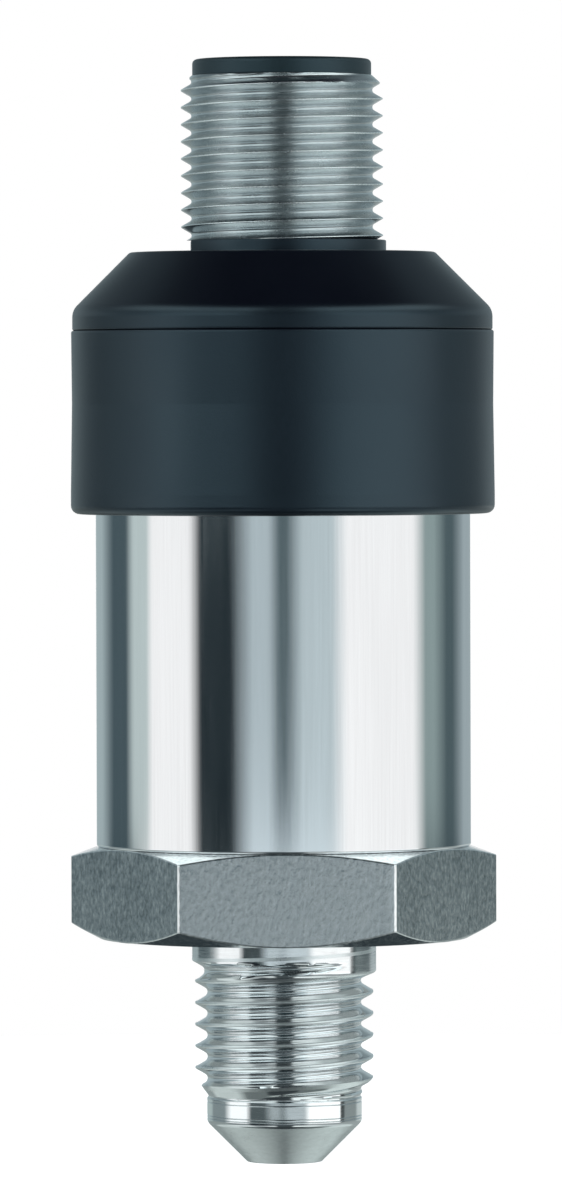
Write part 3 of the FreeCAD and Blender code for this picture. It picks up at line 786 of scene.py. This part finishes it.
@dataclass
class ProcessConnection:
    """The bar-turned connection: flare cone, nose, thread, collar, hexagon and locator."""

    sides: int = 6
    flats: float = 21.7
    corner_radius: float = 12.484
    corner_rounding: float = 0.05
    flat_step: float = 0.4
    height: float = 5.4
    face_radius: float = 10.83
    face_edge: float = 0.12
    top_slope: float = 20.0
    foot_slope: float = 28.0
    chamfer_edge: float = 0.07
    tip_radius: float = 2.2
    tip_edge: float = 0.1
    nose_radius: float = 4.55
    nose_edge: float = 0.4
    nose_length: float = 1.5
    nose_lip: float = 0.06
    line_depth: float = 0.035
    line_half: float = 0.04
    line_rises: tuple[float, ...] = (0.24, 0.4, 1.2)
    collar_radius: float = 5.41
    locator_height: float = 1.6
    locator_edge: float = 0.15
    bore_radius: float = 1.5
    bore_chamfer: float = 0.3
    chamber_radius: float = 3.0
    chamber_depth: float = 2.8
    thread_end: float = -9.28
    end_gap: float = 0.07
    end_slope: float = 0.73
    collar_start: float = -2.4
    collar_full: float = -1.95
    collar_foot: float = -0.4
    underside_margin: float = 0.001
    thread: Thread = Thread(
        pitch=1.27, crest_radius=5.24, root_rounding=0.26, crest_rounding=0.12, phase_height=-2.56,
        runout_start=0.5, runout_end=0.86,
    )

    @property
    def tip(self) -> float:
        """Height of the flare cone's end."""
        return foot_of(Node.CONNECTION)

    @property
    def cone_top(self) -> float:
        """Height at which the 45 degree flare cone meets the nose."""
        return self.tip + self.nose_radius - self.tip_radius

    def surface(self, height: float, turn: float) -> float:
        """Radius of the threaded stretch.

        Args:
            height: Height of the point.
            turn: Its angle as a share of a turn.

        Returns:
            The distance from the axis, between the end chamfer and the collar.
        """
        groove = self.thread.radius(height, turn)
        chamfer = self.nose_radius - self.end_gap + (height - self.thread_end) * self.end_slope
        share = (height - self.collar_start) / (self.collar_full - self.collar_start)
        swell = (self.collar_radius - self.thread.crest_radius) * eased(share)
        return min(groove + swell, chamfer)

    def nose_corners(self) -> list[Corner]:
        """Corners from the pressure chamber down the bore, round the cone and up the nose.

        Returns:
            The corners, with those of the fine turned lines on the nose.
        """
        chamber_floor = self.height + self.locator_height - self.chamber_depth
        nose_top = self.cone_top + self.nose_length
        lines = []
        for rise in self.line_rises:
            for side in (-1, 0, 1):
                depth = 0.0 if side else self.line_depth
                height = self.cone_top + rise + side * self.line_half
                lines.append(Corner(self.nose_radius - depth, height))
        return [
            Corner(self.chamber_radius, chamber_floor),
            Corner(self.bore_radius, chamber_floor),
            Corner(self.bore_radius, self.tip + self.bore_chamfer),
            Corner(self.bore_radius + self.bore_chamfer, self.tip),
            Corner(self.tip_radius, self.tip, self.tip_edge),
            Corner(self.nose_radius, self.cone_top, self.nose_edge),
            *lines,
            Corner(self.nose_radius, nose_top - self.end_gap, self.nose_lip),
            Corner(self.nose_radius - self.end_gap, nose_top),
        ]

    def hexagon_corners(self, outline_radius: float) -> list[Corner]:
        """Corners from the collar round the hexagon and the locator to the chamber.

        Args:
            outline_radius: Radius of the hexagon's outline at this angle.

        Returns:
            The corners.
        """
        rise = math.tan(math.radians(self.foot_slope)) * (outline_radius - self.face_radius)
        drop = math.tan(math.radians(self.top_slope)) * (outline_radius - self.face_radius)
        locator_radius = reach_of(Node.CARRIER)
        locator_top = self.height + self.locator_height
        return [
            Corner(self.collar_radius, 0.0),
            Corner(self.face_radius, 0.0, self.face_edge),
            Corner(outline_radius, rise, self.chamfer_edge),
            Corner(outline_radius, self.height - drop, self.chamfer_edge),
            Corner(self.face_radius, self.height, self.face_edge),
            Corner(locator_radius, self.height),
            Corner(locator_radius, locator_top, self.locator_edge),
            Corner(self.chamber_radius, locator_top),
        ]

    def column(self, outline_radius: float, angle: float) -> tuple[list[Point], Helix]:
        """The section at one angle.

        Args:
            outline_radius: Radius of the hexagon's outline there.
            angle: The angle in radians, counter-clockwise from +X.

        Returns:
            The points, and the rows that the thread takes up.
        """
        low, high = self.thread_end, self.collar_foot
        rows = self.thread.rows(low, high, angle / FULL_TURN, self.surface)
        # The nose runs up to the thread's first point and the hexagon starts from its last one.
        # Both points are among the thread's rows already, so they are left out again.
        below = self.nose_corners() + [Corner(self.nose_radius - self.end_gap, low)]
        above = [Corner(self.collar_radius, high)] + self.hexagon_corners(outline_radius)
        nose, hexagon = rounded(below)[:-1], rounded(above)[1:]
        return nose + rows + hexagon, self.thread.helix(len(nose), rows)

    def zone(self, row: int, height: float, helix: Helix) -> Zone:
        """The zone that a span of the section lies in.

        Args:
            row: The row that it starts at.
            height: Height of its upper end.
            helix: The rows of the thread.

        Returns:
            The zone.
        """
        if row < helix.last and height <= self.cone_top - self.nose_edge / 4:
            return Zone.FLARE
        # Crest spans get the finish whose lighter colour is a painted highlight.
        if helix.on_crest(row):
            return Zone.CREST
        return Zone.NIPPLE if height <= self.underside_margin else Zone.HEXAGON

    def build(self) -> bpy.types.Object:
        """Makes the connection, with separate finishes for cone, nipple, hexagon and the crest's
        painted highlight.

        Returns:
            The dressed object.
        """
        outline = polygon_outline(
            self.flats, self.corner_radius, self.corner_rounding, self.sides, self.flat_step
        )
        spots = sorted((math.atan2(p.y, p.x) % FULL_TURN, p.length) for p in outline)
        angles = [angle for angle, _ in spots]
        columns, helices = zip(*(self.column(radius, angle) for angle, radius in spots))
        heights = [height for _, height in columns[0]]
        upper_ends = map(max, heights, heights[1:] + heights[:1])
        zones = [self.zone(row, height, helices[0]) for row, height in enumerate(upper_ends)]
        skin = Skin("turned_connection", angles, list(columns), helices[0], zones)
        return dress(skin.build(), "connection_steel", Node.CONNECTION,
                     HEX_STEEL, FLARE_STEEL, NIPPLE_STEEL, NIPPLE_CREST_HIGHLIGHT_STEEL)


# ------------------------------------------------------------------ case


@dataclass
class Case:
    """The drawn tube and the moulded ring that covers its upper end."""

    tube_radius: float = 11.0
    tube_spans: int = 512
    wall: float = 0.85
    foot_edge: float = 0.12
    mouth_edge: float = 0.1
    groove_depth: float = 0.35
    groove_edge: float = 0.05
    groove_rise: float = 2.4
    ring_spans: int = 480
    ring_top_radius: float = 12.4
    ring_waist_radius: float = 12.36
    ring_waist_share: float = 0.6
    ring_foot_radius: float = 12.44
    ring_foot_height: float = 1.2
    ring_foot_edge: float = 0.5
    ring_edge: float = 0.13
    ring_bore_gap: float = 0.05
    ring_bore_edge: float = 0.1
    nose_count: int = 6
    nose_span: float = 24.0

    @property
    def groove(self) -> float:
        """Height of the middle of the tube's groove, which the ring's snap noses hold in."""
        return foot_of(Node.RING) + self.groove_rise

    def tube(self) -> bpy.types.Object:
        """Makes the tube with its groove.

        Returns:
            The dressed object.
        """
        low, high = foot_of(Node.TUBE), top_of(Node.TUBE)
        outer, inner = self.tube_radius, self.tube_radius - self.wall
        section = rounded([
            Corner(inner, low),
            Corner(outer, low, self.foot_edge),
            Corner(outer, self.groove - self.groove_depth, self.groove_edge),
            Corner(outer - self.groove_depth, self.groove, self.groove_edge),
            Corner(outer, self.groove + self.groove_depth, self.groove_edge),
            Corner(outer, high, self.mouth_edge),
            Corner(inner, high, self.mouth_edge),
        ])
        skin = revolved("drawn_tube", section, self.tube_spans)
        return dress(skin.build(), "tube_steel", Node.TUBE, TUBE_STEEL)

    def ring_section(self, nose: float) -> list[Point]:
        """The cover ring's section.

        Args:
            nose: How far its snap nose is out, as a share of its full reach.

        Returns:
            The points.
        """
        low, high = foot_of(Node.RING), top_of(Node.RING)
        bore = self.tube_radius + self.ring_bore_gap
        reach = self.groove_depth
        return rounded([
            Corner(bore, low, self.ring_bore_edge),
            Corner(self.ring_foot_radius, low, self.ring_foot_edge),
            Corner(self.ring_foot_radius, low + self.ring_foot_height),
            Corner(self.ring_waist_radius, low + (high - low) * self.ring_waist_share),
            Corner(self.ring_top_radius, high, self.ring_edge),
            Corner(bore, high, self.ring_bore_edge),
            Corner(bore, self.groove + reach),
            Corner(bore - reach * nose, self.groove),
            Corner(bore, self.groove - reach),
        ], FINE_ARC_STEPS)

    def ring(self) -> bpy.types.Object:
        """Makes the cover ring, slightly waisted, with its snap noses inside.

        Returns:
            The dressed object.
        """
        angles = even_angles(self.ring_spans)
        plain, nosed = self.ring_section(0.0), self.ring_section(1.0)
        pitch = 360 / self.nose_count
        columns = [nosed if math.degrees(a) % pitch < self.nose_span else plain for a in angles]
        skin = Skin("cover_ring_skin", angles, columns)
        return dress(skin.build(), "ring_plastic", Node.RING, RING_PLASTIC)

    def build(self) -> None:
        """Makes both pieces."""
        self.tube()
        self.ring()


# ------------------------------------------------------------------ connector


@cache
def socket_floor() -> float:
    """Height of the socket's floor, which the contacts' round stretches stand on."""
    pins = [m for m in frame["record"]["mounts"] if m["name"] == "contact_pins"]
    return pins[0]["pos_m"][2] / MM


@dataclass
class Connector:
    """The plug connector: moulded head with its keyed socket, threaded sleeve and contacts."""

    head_radius: float = 12.33
    head_spans: int = 360
    band_height: float = 1.2
    shoulder: float = 1.0
    seam_edge: float = 0.12
    top_radius: float = 8.95
    top_edge: float = 0.3
    collar_radius: float = 6.1
    collar_flat: float = 5.36
    collar_flat_edge: float = 0.006
    collar_edge: float = 0.08
    collar_root_edge: float = 0.06
    barrel_radius: float = 4.73
    rim_radius: float = 5.25
    rim_edge: float = 0.28
    rim_foot_edge: float = 0.05
    rim_margin: float = 0.01
    socket_radius: float = 4.25
    socket_lead: float = 0.25
    socket_edge: float = 0.08
    key_degrees: float = 9.7
    key_edge_degrees: float = 0.25
    key_depth: float = 0.75
    key_start: float = 0.6
    floor_depth: float = 4.8
    skirt_wall: float = 2.45
    skirt_edge: float = 0.2
    skirt_root_edge: float = 0.3
    sleeve_spans: int = 256
    sleeve_gap: float = 0.02
    end_proud: float = 0.05
    end_slope: float = 1.1
    contact_count: int = 4
    contact_spans: int = 48
    contact_arc_steps: int = 8
    contact_radius: float = 0.5
    contact_dome: float = 0.45
    stem_half: float = 0.3
    thread: Thread = Thread(
        pitch=1.0, crest_radius=5.93, root_rounding=0.2, crest_rounding=0.05, phase_height=48.69,
    )

    @property
    def flat_reach(self) -> float:
        """Half the angle that the collar's flat takes up, in radians."""
        return math.acos(self.collar_flat / self.collar_radius)

    @property
    def key_reach(self) -> float:
        """Half the angle that the socket's key takes up, in radians."""
        return math.radians(self.key_degrees)

    def head_angles(self) -> list[float]:
        """Angles of the head's sections, with extra ones at the edges of the key and the flat.

        Returns:
            The angles in radians, in order.
        """
        key_ends = (self.key_reach, self.key_reach + math.radians(self.key_edge_degrees))
        flat_ends = (self.flat_reach, self.flat_reach + self.collar_flat_edge)
        extra = [math.pi + side * end for side in (-1, 1) for end in key_ends + flat_ends]
        return sorted(even_angles(self.head_spans) + extra)

    def head_section(self, angle: float) -> list[Point]:
        """The moulded head's section.

        Args:
            angle: The angle in radians, counter-clockwise from +X. The key and the flat are at -X.

        Returns:
            The points.
        """
        seam, floor, rim_top = top_of(Node.TUBE), socket_floor(), top_of(Node.HEAD)
        sleeve_foot, sleeve_top = foot_of(Node.SLEEVE), top_of(Node.SLEEVE)
        skirt, skirt_foot = reach_of(Node.CARRIER), foot_of(Node.HEAD)
        underside, key_top = floor - self.floor_depth, rim_top - self.key_start
        band_top = seam + self.band_height
        head_top = band_top + self.head_radius - self.top_radius
        from_key = abs(angle - math.pi)
        collar = self.collar_radius
        if from_key < self.flat_reach + MARGIN:
            collar = min(collar, self.collar_flat / math.cos(from_key))
        key_face = self.socket_radius
        if from_key <= self.key_reach + MARGIN:
            key_face = (self.socket_radius - self.key_depth) / math.cos(from_key)
        return rounded([
            Corner(0.0, underside),
            Corner(skirt - self.skirt_wall, underside, self.skirt_root_edge),
            Corner(skirt - self.skirt_wall, skirt_foot, self.skirt_edge),
            Corner(skirt, skirt_foot, self.skirt_edge),
            Corner(skirt, seam),
            Corner(self.head_radius, seam, self.seam_edge),
            Corner(self.head_radius, band_top, self.shoulder),
            Corner(self.top_radius, head_top, self.top_edge),
            Corner(collar, head_top, self.collar_root_edge),
            Corner(collar, sleeve_foot, self.collar_edge),
            Corner(self.barrel_radius, sleeve_foot),
            Corner(self.barrel_radius, sleeve_top),
            Corner(self.rim_radius, sleeve_top, self.rim_foot_edge),
            Corner(self.rim_radius, rim_top, self.rim_edge),
            Corner(self.socket_radius + self.socket_lead, rim_top, self.socket_edge),
            Corner(self.socket_radius, rim_top - self.socket_lead),
            Corner(self.socket_radius, key_top),
            Corner(key_face, key_top),
            Corner(key_face, floor),
            Corner(0.0, floor),
        ], FINE_ARC_STEPS)

    def head(self) -> bpy.types.Object:
        """Makes the moulded head, with the rim's lighter colour painted as light.

        Returns:
            The dressed object.
        """
        angles = self.head_angles()
        columns = [self.head_section(angle) for angle in angles]
        heights = [height for _, height in columns[0]]
        rim_foot = top_of(Node.SLEEVE) - self.rim_margin
        lower_ends = map(min, heights, heights[1:] + heights[:1])
        # The spans above the sleeve take the rim's finish, whose lighter colour is painted light.
        finishes = [int(height > rim_foot) for height in lower_ends]
        skin = Skin("moulded_head", angles, columns, None, finishes)
        return dress(skin.build(), "head_plastic", Node.HEAD, HEAD_PLASTIC, RIM_PLASTIC_PAINTED_LIGHT)

    def sleeve_surface(self, height: float, turn: float) -> float:
        """Radius of the sleeve's outside: its thread, chamfered at the upper end."""
        chamfer = self.rim_radius + self.end_proud + (top_of(Node.SLEEVE) - height) * self.end_slope
        return min(self.thread.radius(height, turn), chamfer)

    def sleeve(self) -> bpy.types.Object:
        """Makes the steel sleeve with its thread, the crests in a painted highlight.

        Returns:
            The dressed object.
        """
        low, high = foot_of(Node.SLEEVE), top_of(Node.SLEEVE)
        inner = self.barrel_radius + self.sleeve_gap
        angles = even_angles(self.sleeve_spans)
        threads = [self.thread.rows(low, high, a / FULL_TURN, self.sleeve_surface) for a in angles]
        columns = [[(inner, low)] + rows + [(inner, high)] for rows in threads]
        helix = self.thread.helix(1, threads[0])
        # Crest spans take the finish whose lighter colour is a painted highlight.
        finishes = [int(helix.on_crest(row)) for row in range(len(columns[0]))]
        skin = Skin("thread_sleeve", angles, columns, helix, finishes)
        return dress(skin.build(), "thread_steel", Node.SLEEVE, SLEEVE_STEEL, SLEEVE_CREST_HIGHLIGHT_STEEL)

    def contact_section(self, node: Node, angle: float) -> list[Point]:
        """A contact's section: a square stem below, a round pin with a domed tip above.

        Args:
            node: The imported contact.
            angle: The angle in radians.

        Returns:
            The points.
        """
        square = self.stem_half / max(abs(math.cos(angle)), abs(math.sin(angle)))
        return rounded([
            Corner(0.0, foot_of(node)),
            Corner(square, foot_of(node)),
            Corner(square, socket_floor()),
            Corner(self.contact_radius, socket_floor()),
            Corner(self.contact_radius, top_of(node), self.contact_dome),
            Corner(0.0, top_of(node)),
        ], self.contact_arc_steps)

    def contact(self, number: int) -> bpy.types.Object:
        """Makes one contact.

        Args:
            number: The contact's number, from 1.

        Returns:
            The dressed object.
        """
        node = Node(f"contact_pin_{number}")
        angles = even_angles(self.contact_spans)
        columns = [self.contact_section(node, angle) for angle in angles]
        made = Skin(f"gold_contact_{number}", angles, columns).build()
        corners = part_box(node.value)
        middle = (corners[0] + corners[1]) / 2
        made.data.transform(Matrix.Translation(Vector((middle.x, middle.y, 0))))
        return dress(made, "contact_gold", node, CONTACT_GOLD)

    def build(self) -> None:
        """Makes the head, the sleeve and the contacts."""
        self.head()
        self.sleeve()
        for number in range(1, self.contact_count + 1):
            self.contact(number)


# ------------------------------------------------------------------ inside


@dataclass
class Inside:
    """The pieces under the case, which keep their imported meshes."""

    finishes: dict[Node, Finish] = field(default_factory=lambda: {
        Node.CELL: CELL_STEEL,
        Node.CARRIER: CARRIER_PLASTIC,
        Node.CONTACT_BOARD: BOARD_LACQUER,
        Node.RIBBONS: RIBBON_GOLD,
        Node.MAIN_BOARD: BOARD_LACQUER,
        Node.FLEX: FLEX_FILM,
        Node.CONNECTOR_BOARD: BOARD_LACQUER,
        Node.HEADERS: HEADER_PLASTIC,
        Node.POSTS: POST_TIN,
        Node.SIGNAL_CHIP: CHIP_RESIN,
        Node.DRIVER: CHIP_RESIN,
        Node.REGULATOR: CHIP_RESIN,
        Node.CAPACITORS: CAPACITOR_CERAMIC,
        Node.RESISTORS: RESISTOR_CERAMIC,
        Node.DIODES: DIODE_RESIN,
    })

    def build(self) -> None:
        """Gives every inner piece its finish."""
        made: dict[str, bpy.types.Material] = {}
        for node, finish in self.finishes.items():
            if finish.name not in made:
                made[finish.name] = finish.material()
            data = frame["nodes"][node.value].data
            data.materials.clear()
            data.materials.append(made[finish.name])
            log.info("%s: %s", node.value, finish.name)


# ------------------------------------------------------------------ studio


@dataclass(frozen=True)
class Panel:
    """A stretch of the tent round the table: its bearings from the front, and its brightness."""

    start: float
    end: float
    colour: Colour


@dataclass(frozen=True)
class Tier:
    """Panels side by side round the table, and the heights between which they begin to show.

    The heights are those of a direction's upward share, so 1 is straight up and -1 straight down.
    gain is a factor on the brightness of all its panels.
    """

    panels: tuple[Panel, ...]
    hidden_at: float = 0.0
    full_at: float = 0.0
    gain: float = 1.0


MIDDLE_TIER = Tier((
    Panel(-180, -150, (0.37, 0.455, 0.475)),
    Panel(-130, -114, (0.068, 0.102, 0.118)),
    Panel(-106, -94, (0.53, 0.62, 0.62)),
    Panel(-89, -61, (1.0, 1.0, 1.0)),
    Panel(-53, -33, (0.014, 0.023, 0.029)),
    Panel(-19, -10, (0.46, 0.545, 0.58)),
    Panel(-3.2, 1.2, (0.1, 0.14, 0.155)),
    Panel(11, 29, (0.5, 0.59, 0.62)),
    Panel(39, 86, (1.0, 1.0, 1.0)),
    Panel(97, 105, (0.28, 0.36, 0.36)),
    Panel(119, 127, (0.08, 0.118, 0.13)),
    Panel(146, 180, (0.34, 0.41, 0.435)),
))
UPPER_TIER = Tier((
    Panel(-180, -85, (0.38, 0.47, 0.5)),
    Panel(-68, -27, (1.2, 1.4, 1.45)),
    Panel(-12, 12, (0.015, 0.028, 0.033)),
    Panel(27, 68, (1.2, 1.4, 1.45)),
    Panel(85, 180, (0.38, 0.47, 0.5)),
), 0.012, 0.02)
SKY_TIER = Tier((
    Panel(-180, -85, (0.22, 0.28, 0.3)),
    Panel(-72, -56, (0.4, 0.46, 0.47)),
    Panel(-50, -34, (0.3, 0.35, 0.36)),
    Panel(-26, -22, (0.32, 0.37, 0.38)),
    Panel(-14, 12, (0.03, 0.045, 0.05)),
    Panel(25, 70, (0.4, 0.46, 0.47)),
    Panel(85, 180, (0.22, 0.28, 0.3)),
), 0.2, 0.35)
HIGH_TIER = Tier((
    Panel(-180, -125, (0.16, 0.2, 0.22)),
    Panel(-88, -56, (1.3, 1.45, 1.45)),
    Panel(-50, -34, (1.05, 1.17, 1.18)),
    Panel(-29, -17, (1.3, 1.45, 1.45)),
    Panel(-12, 12, (0.03, 0.045, 0.05)),
    Panel(17, 88, (1.4, 1.55, 1.55)),
    Panel(125, 180, (0.16, 0.2, 0.22)),
), 0.42, 0.5)
HEXAGON_TIER = Tier((
    Panel(-180, -142, (0.3, 0.36, 0.38)),
    Panel(-134, -109, (0.045, 0.068, 0.078)),
    Panel(-89, -60, (1.0, 1.0, 1.0)),
    Panel(-52, -33, (0.04, 0.05, 0.055)),
    Panel(-20, 24, (0.93, 1.06, 1.13)),
    Panel(39, 88, (1.0, 1.0, 1.0)),
    Panel(98, 133, (0.045, 0.068, 0.078)),
    Panel(144, 180, (0.3, 0.36, 0.38)),
), -0.0505, -0.0525)
NIPPLE_TIER = Tier((
    Panel(-180, -140, (0.38, 0.46, 0.46)),
    Panel(-134, -102, (0.22, 0.27, 0.28)),
    Panel(-88, -60, (1.1, 1.15, 1.16)),
    Panel(-52, -31, (0.09, 0.115, 0.12)),
    Panel(-19, -11, (0.31, 0.36, 0.37)),
    Panel(-6, -2, (0.21, 0.25, 0.26)),
    Panel(5, 29, (0.42, 0.48, 0.5)),
    Panel(37, 90, (1.25, 1.3, 1.3)),
    Panel(92, 98, (0.05, 0.06, 0.06)),
    Panel(102, 131, (0.25, 0.29, 0.29)),
    Panel(140, 180, (0.52, 0.58, 0.58)),
), -0.0625, -0.066, gain=1.12)
LOWER_TIER = Tier((
    Panel(-180, -100, (0.3, 0.35, 0.35)),
    Panel(-88, -58, (0.24, 0.28, 0.29)),
    Panel(-54, -28, (0.015, 0.02, 0.025)),
    Panel(-20, 26, (0.08, 0.1, 0.11)),
    Panel(38, 88, (0.36, 0.4, 0.41)),
    Panel(100, 180, (0.36, 0.41, 0.41)),
), -0.12, -0.18)
DEEP_TIER = Tier((
    Panel(-180, -158, (0.03, 0.042, 0.048)),
    Panel(-150, -118, (0.58, 0.66, 0.65)),
    Panel(-88, -60, (0.8, 0.88, 0.88)),
    Panel(-50, -34, (0.42, 0.47, 0.48)),
    Panel(-26, -17, (0.7, 0.77, 0.78)),
    Panel(-12, 11, (0.06, 0.075, 0.08)),
    Panel(17, 50, (1.0, 1.1, 1.1)),
    Panel(70, 105, (0.6, 0.68, 0.68)),
    Panel(116, 150, (0.68, 0.78, 0.77)),
    Panel(158, 180, (0.03, 0.042, 0.048)),
), -0.42, -0.5)
FOOT_TIER = Tier((
    Panel(-180, -158, (0.03, 0.042, 0.048)),
    Panel(-150, -110, (0.6, 0.68, 0.67)),
    Panel(-96, -58, (0.16, 0.19, 0.19)),
    Panel(-54, 38, (0.04, 0.05, 0.055)),
    Panel(50, 96, (0.16, 0.19, 0.19)),
    Panel(110, 150, (0.7, 0.8, 0.79)),
    Panel(158, 180, (0.03, 0.042, 0.048)),
), -0.7, -0.76)
ROOF = Tier((Panel(-180, 180, (0.012, 0.012, 0.02)),), 0.7, 0.8)

# Places of a colour mix's sockets, which share their names with those of other data types.
MIX_FACTOR, MIX_BELOW, MIX_ABOVE, MIX_RESULT = 0, 6, 7, 2


@dataclass
class Studio:
    """A light tent with grey and dark panels, a pale floor, and the camera."""

    tiers: tuple[Tier, ...] = (
        MIDDLE_TIER, UPPER_TIER, SKY_TIER, HIGH_TIER, ROOF,
        HEXAGON_TIER, NIPPLE_TIER, LOWER_TIER, DEEP_TIER, FOOT_TIER,
    )
    ramp_end: float = 0.0001
    backdrop_from: float = 0.99
    floor_colour: Colour = (0.72, 0.73, 0.74)
    floor_mottle: float = 0.01
    floor_waves: Waves = (0.01, 0.01, 0.01)
    floor_roughness: float = 0.8
    floor_radius: float = 105.0
    floor_depth: float = 4.0
    floor_edge: float = 1.0
    floor_spans: int = 128
    floor_glow: float = 0.92
    distance: float = 520.0
    bearing: float = -0.92
    eye_height: float = 31.5
    aim: tuple[float, float, float] = (-0.125, 0.0, 19.8)
    view_angle: float = 7.75
    roll: float = -0.16
    sensor_width: float = 36.0
    clip: tuple[float, float] = (0.01, 20.0)

    def panel_ramp(
        self, sheet: Sheet, share: bpy.types.NodeSocket, tier: Tier
    ) -> bpy.types.NodeSocket:
        """Colours of one tier all the way round.

        Args:
            sheet: The world's nodes.
            share: The bearing as a share of a turn, half at the front.
            tier: The tier.

        Returns:
            The socket with the colour.
        """
        ramp = sheet.add("ValToRGB", share)
        stops = ramp.color_ramp.elements
        shades = [(*(c * tier.gain for c in panel.colour), 1) for panel in tier.panels]
        for panel, shade in zip(tier.panels, shades):
            for edge in (panel.start, panel.end):
                place = min(1 - self.ramp_end, max(self.ramp_end, (edge + 180) / 360))
                stops.new(place).color = shade
        stops[0].color, stops[len(stops) - 1].color = shades[0], shades[-1]
        return ramp.outputs["Color"]

    def panels(self, sheet: Sheet, direction: bpy.types.Node) -> bpy.types.NodeSocket:
        """All tiers, each laid over the ones before it.

        Args:
            sheet: The world's nodes.
            direction: The node that splits a ray's direction.

        Returns:
            The socket with the tent's colour.
        """
        across, back, height = direction.outputs
        front = sheet.worked_out("MULTIPLY", back, -1.0)
        bearing = sheet.worked_out("ARCTAN2", across, front)
        share = sheet.worked_out("MULTIPLY_ADD", bearing, 1 / FULL_TURN, 0.5)
        tent = self.panel_ramp(sheet, share, self.tiers[0])
        for tier in self.tiers[1:]:
            shown = sheet.add("MapRange", height, tier.hidden_at, tier.full_at)
            mix = sheet.add("Mix")
            mix.data_type = "RGBA"
            sheet.feed(mix.inputs[MIX_FACTOR], shown.outputs["Result"])
            sheet.feed(mix.inputs[MIX_BELOW], tent)
            sheet.feed(mix.inputs[MIX_ABOVE], self.panel_ramp(sheet, share, tier))
            tent = mix.outputs[MIX_RESULT]
        return tent

    def tent(self) -> None:
        """Makes the world: tiers of panels, and a white backdrop behind everything."""
        world = bpy.data.worlds.new("light tent")
        bpy.context.scene.world = world
        world.use_nodes = True
        sheet = Sheet(world.node_tree)
        sheet.tree.nodes.clear()
        direction = sheet.add("SeparateXYZ", sheet.add("TexCoord").outputs["Generated"])
        lit = sheet.add("Background", self.panels(sheet, direction)).outputs["Background"]
        white = sheet.add("Background", WHITE).outputs["Background"]
        ray = sheet.add("LightPath").outputs
        mirrored = sheet.worked_out("ADD", ray["Is Glossy Ray"], ray["Is Transmission Ray"])
        behind = sheet.worked_out("GREATER_THAN", direction.outputs["Y"], self.backdrop_from)
        in_metal = sheet.worked_out("MULTIPLY", mirrored, behind)
        shown_white = sheet.worked_out("MAXIMUM", ray["Is Camera Ray"], in_metal)
        either = sheet.add("MixShader", shown_white, lit, white)
        sheet.add("OutputWorld", either.outputs["Shader"])

    def floor_surface(self) -> bpy.types.Material:
        """The floor's material, which glows to the camera and which reflections pass through.

        Returns:
            The new material.
        """
        surface = Surface("pale floor")
        tone = surface.noise(self.floor_waves, CLOUD_DETAIL)
        dark, light = (scaled(self.floor_colour, 1 + s * self.floor_mottle) for s in (-1, 1))
        surface.set(
            Roughness=self.floor_roughness, Specular_IOR_Level=0.0,
            Base_Color=surface.tint(tone, dark, light),
        )
        ray = surface.add("LightPath").outputs
        strength = surface.worked_out("MULTIPLY", ray["Is Camera Ray"], self.floor_glow)
        glow = surface.add("Emission", WHITE, strength).outputs["Emission"]
        solid = surface.add("AddShader", surface.shader.outputs["BSDF"], glow).outputs["Shader"]
        through = surface.add("BsdfTransparent").outputs["BSDF"]
        either = surface.add("MixShader", ray["Is Glossy Ray"], solid, through)
        output = surface.tree.nodes["Material Output"]
        surface.feed(output.inputs["Surface"], either.outputs["Shader"])
        return surface.material

    def floor(self) -> None:
        """Makes the pale floor, which the camera sees as white with the object's faint shadow."""
        top = CAD_BOX[0].z / MM
        foot, edge = top - self.floor_depth, self.floor_edge
        section = rounded([
            Corner(0.0, foot),
            Corner(self.floor_radius, foot, edge),
            Corner(self.floor_radius, top, edge),
            Corner(0.0, top),
        ])
        piece = revolved("floor", section, self.floor_spans).build()
        piece.data.materials.append(self.floor_surface())

    def camera(self) -> None:
        """Sets the camera in front, slightly above the middle, looking a little down."""
        data = bpy.data.cameras.new("camera")
        camera = bpy.data.objects.new("camera", data)
        bpy.context.scene.collection.objects.link(camera)
        bearing = math.radians(self.bearing)
        eye = Vector((
            self.aim[0] + self.distance * math.sin(bearing),
            self.aim[1] - self.distance * math.cos(bearing),
            self.eye_height,
        )) * MM
        aim = Vector(self.aim) * MM
        look = (aim - eye).to_track_quat("-Z", "Y").to_matrix().to_4x4()
        roll = Matrix.Rotation(math.radians(self.roll), 4, "Z")
        camera.matrix_world = Matrix.Translation(eye) @ look @ roll
        data.sensor_width = self.sensor_width
        data.lens = self.sensor_width / 2 / math.tan(math.radians(self.view_angle) / 2)
        data.clip_start, data.clip_end = self.clip
        bpy.context.scene.camera = camera

    def build(self) -> None:
        """Makes the tent, the floor and the camera."""
        self.tent()
        self.floor()
        self.camera()
        bpy.context.scene.view_settings.view_transform = "Standard"


def main() -> None:
    """Builds every part of the transmitter and the studio."""
    logging.basicConfig(level=logging.INFO, format="%(name)s %(message)s")
    ProcessConnection().build()
    Case().build()
    Connector().build()
    Inside().build()
    Studio().build()


if __name__ == "__main__":
    main()
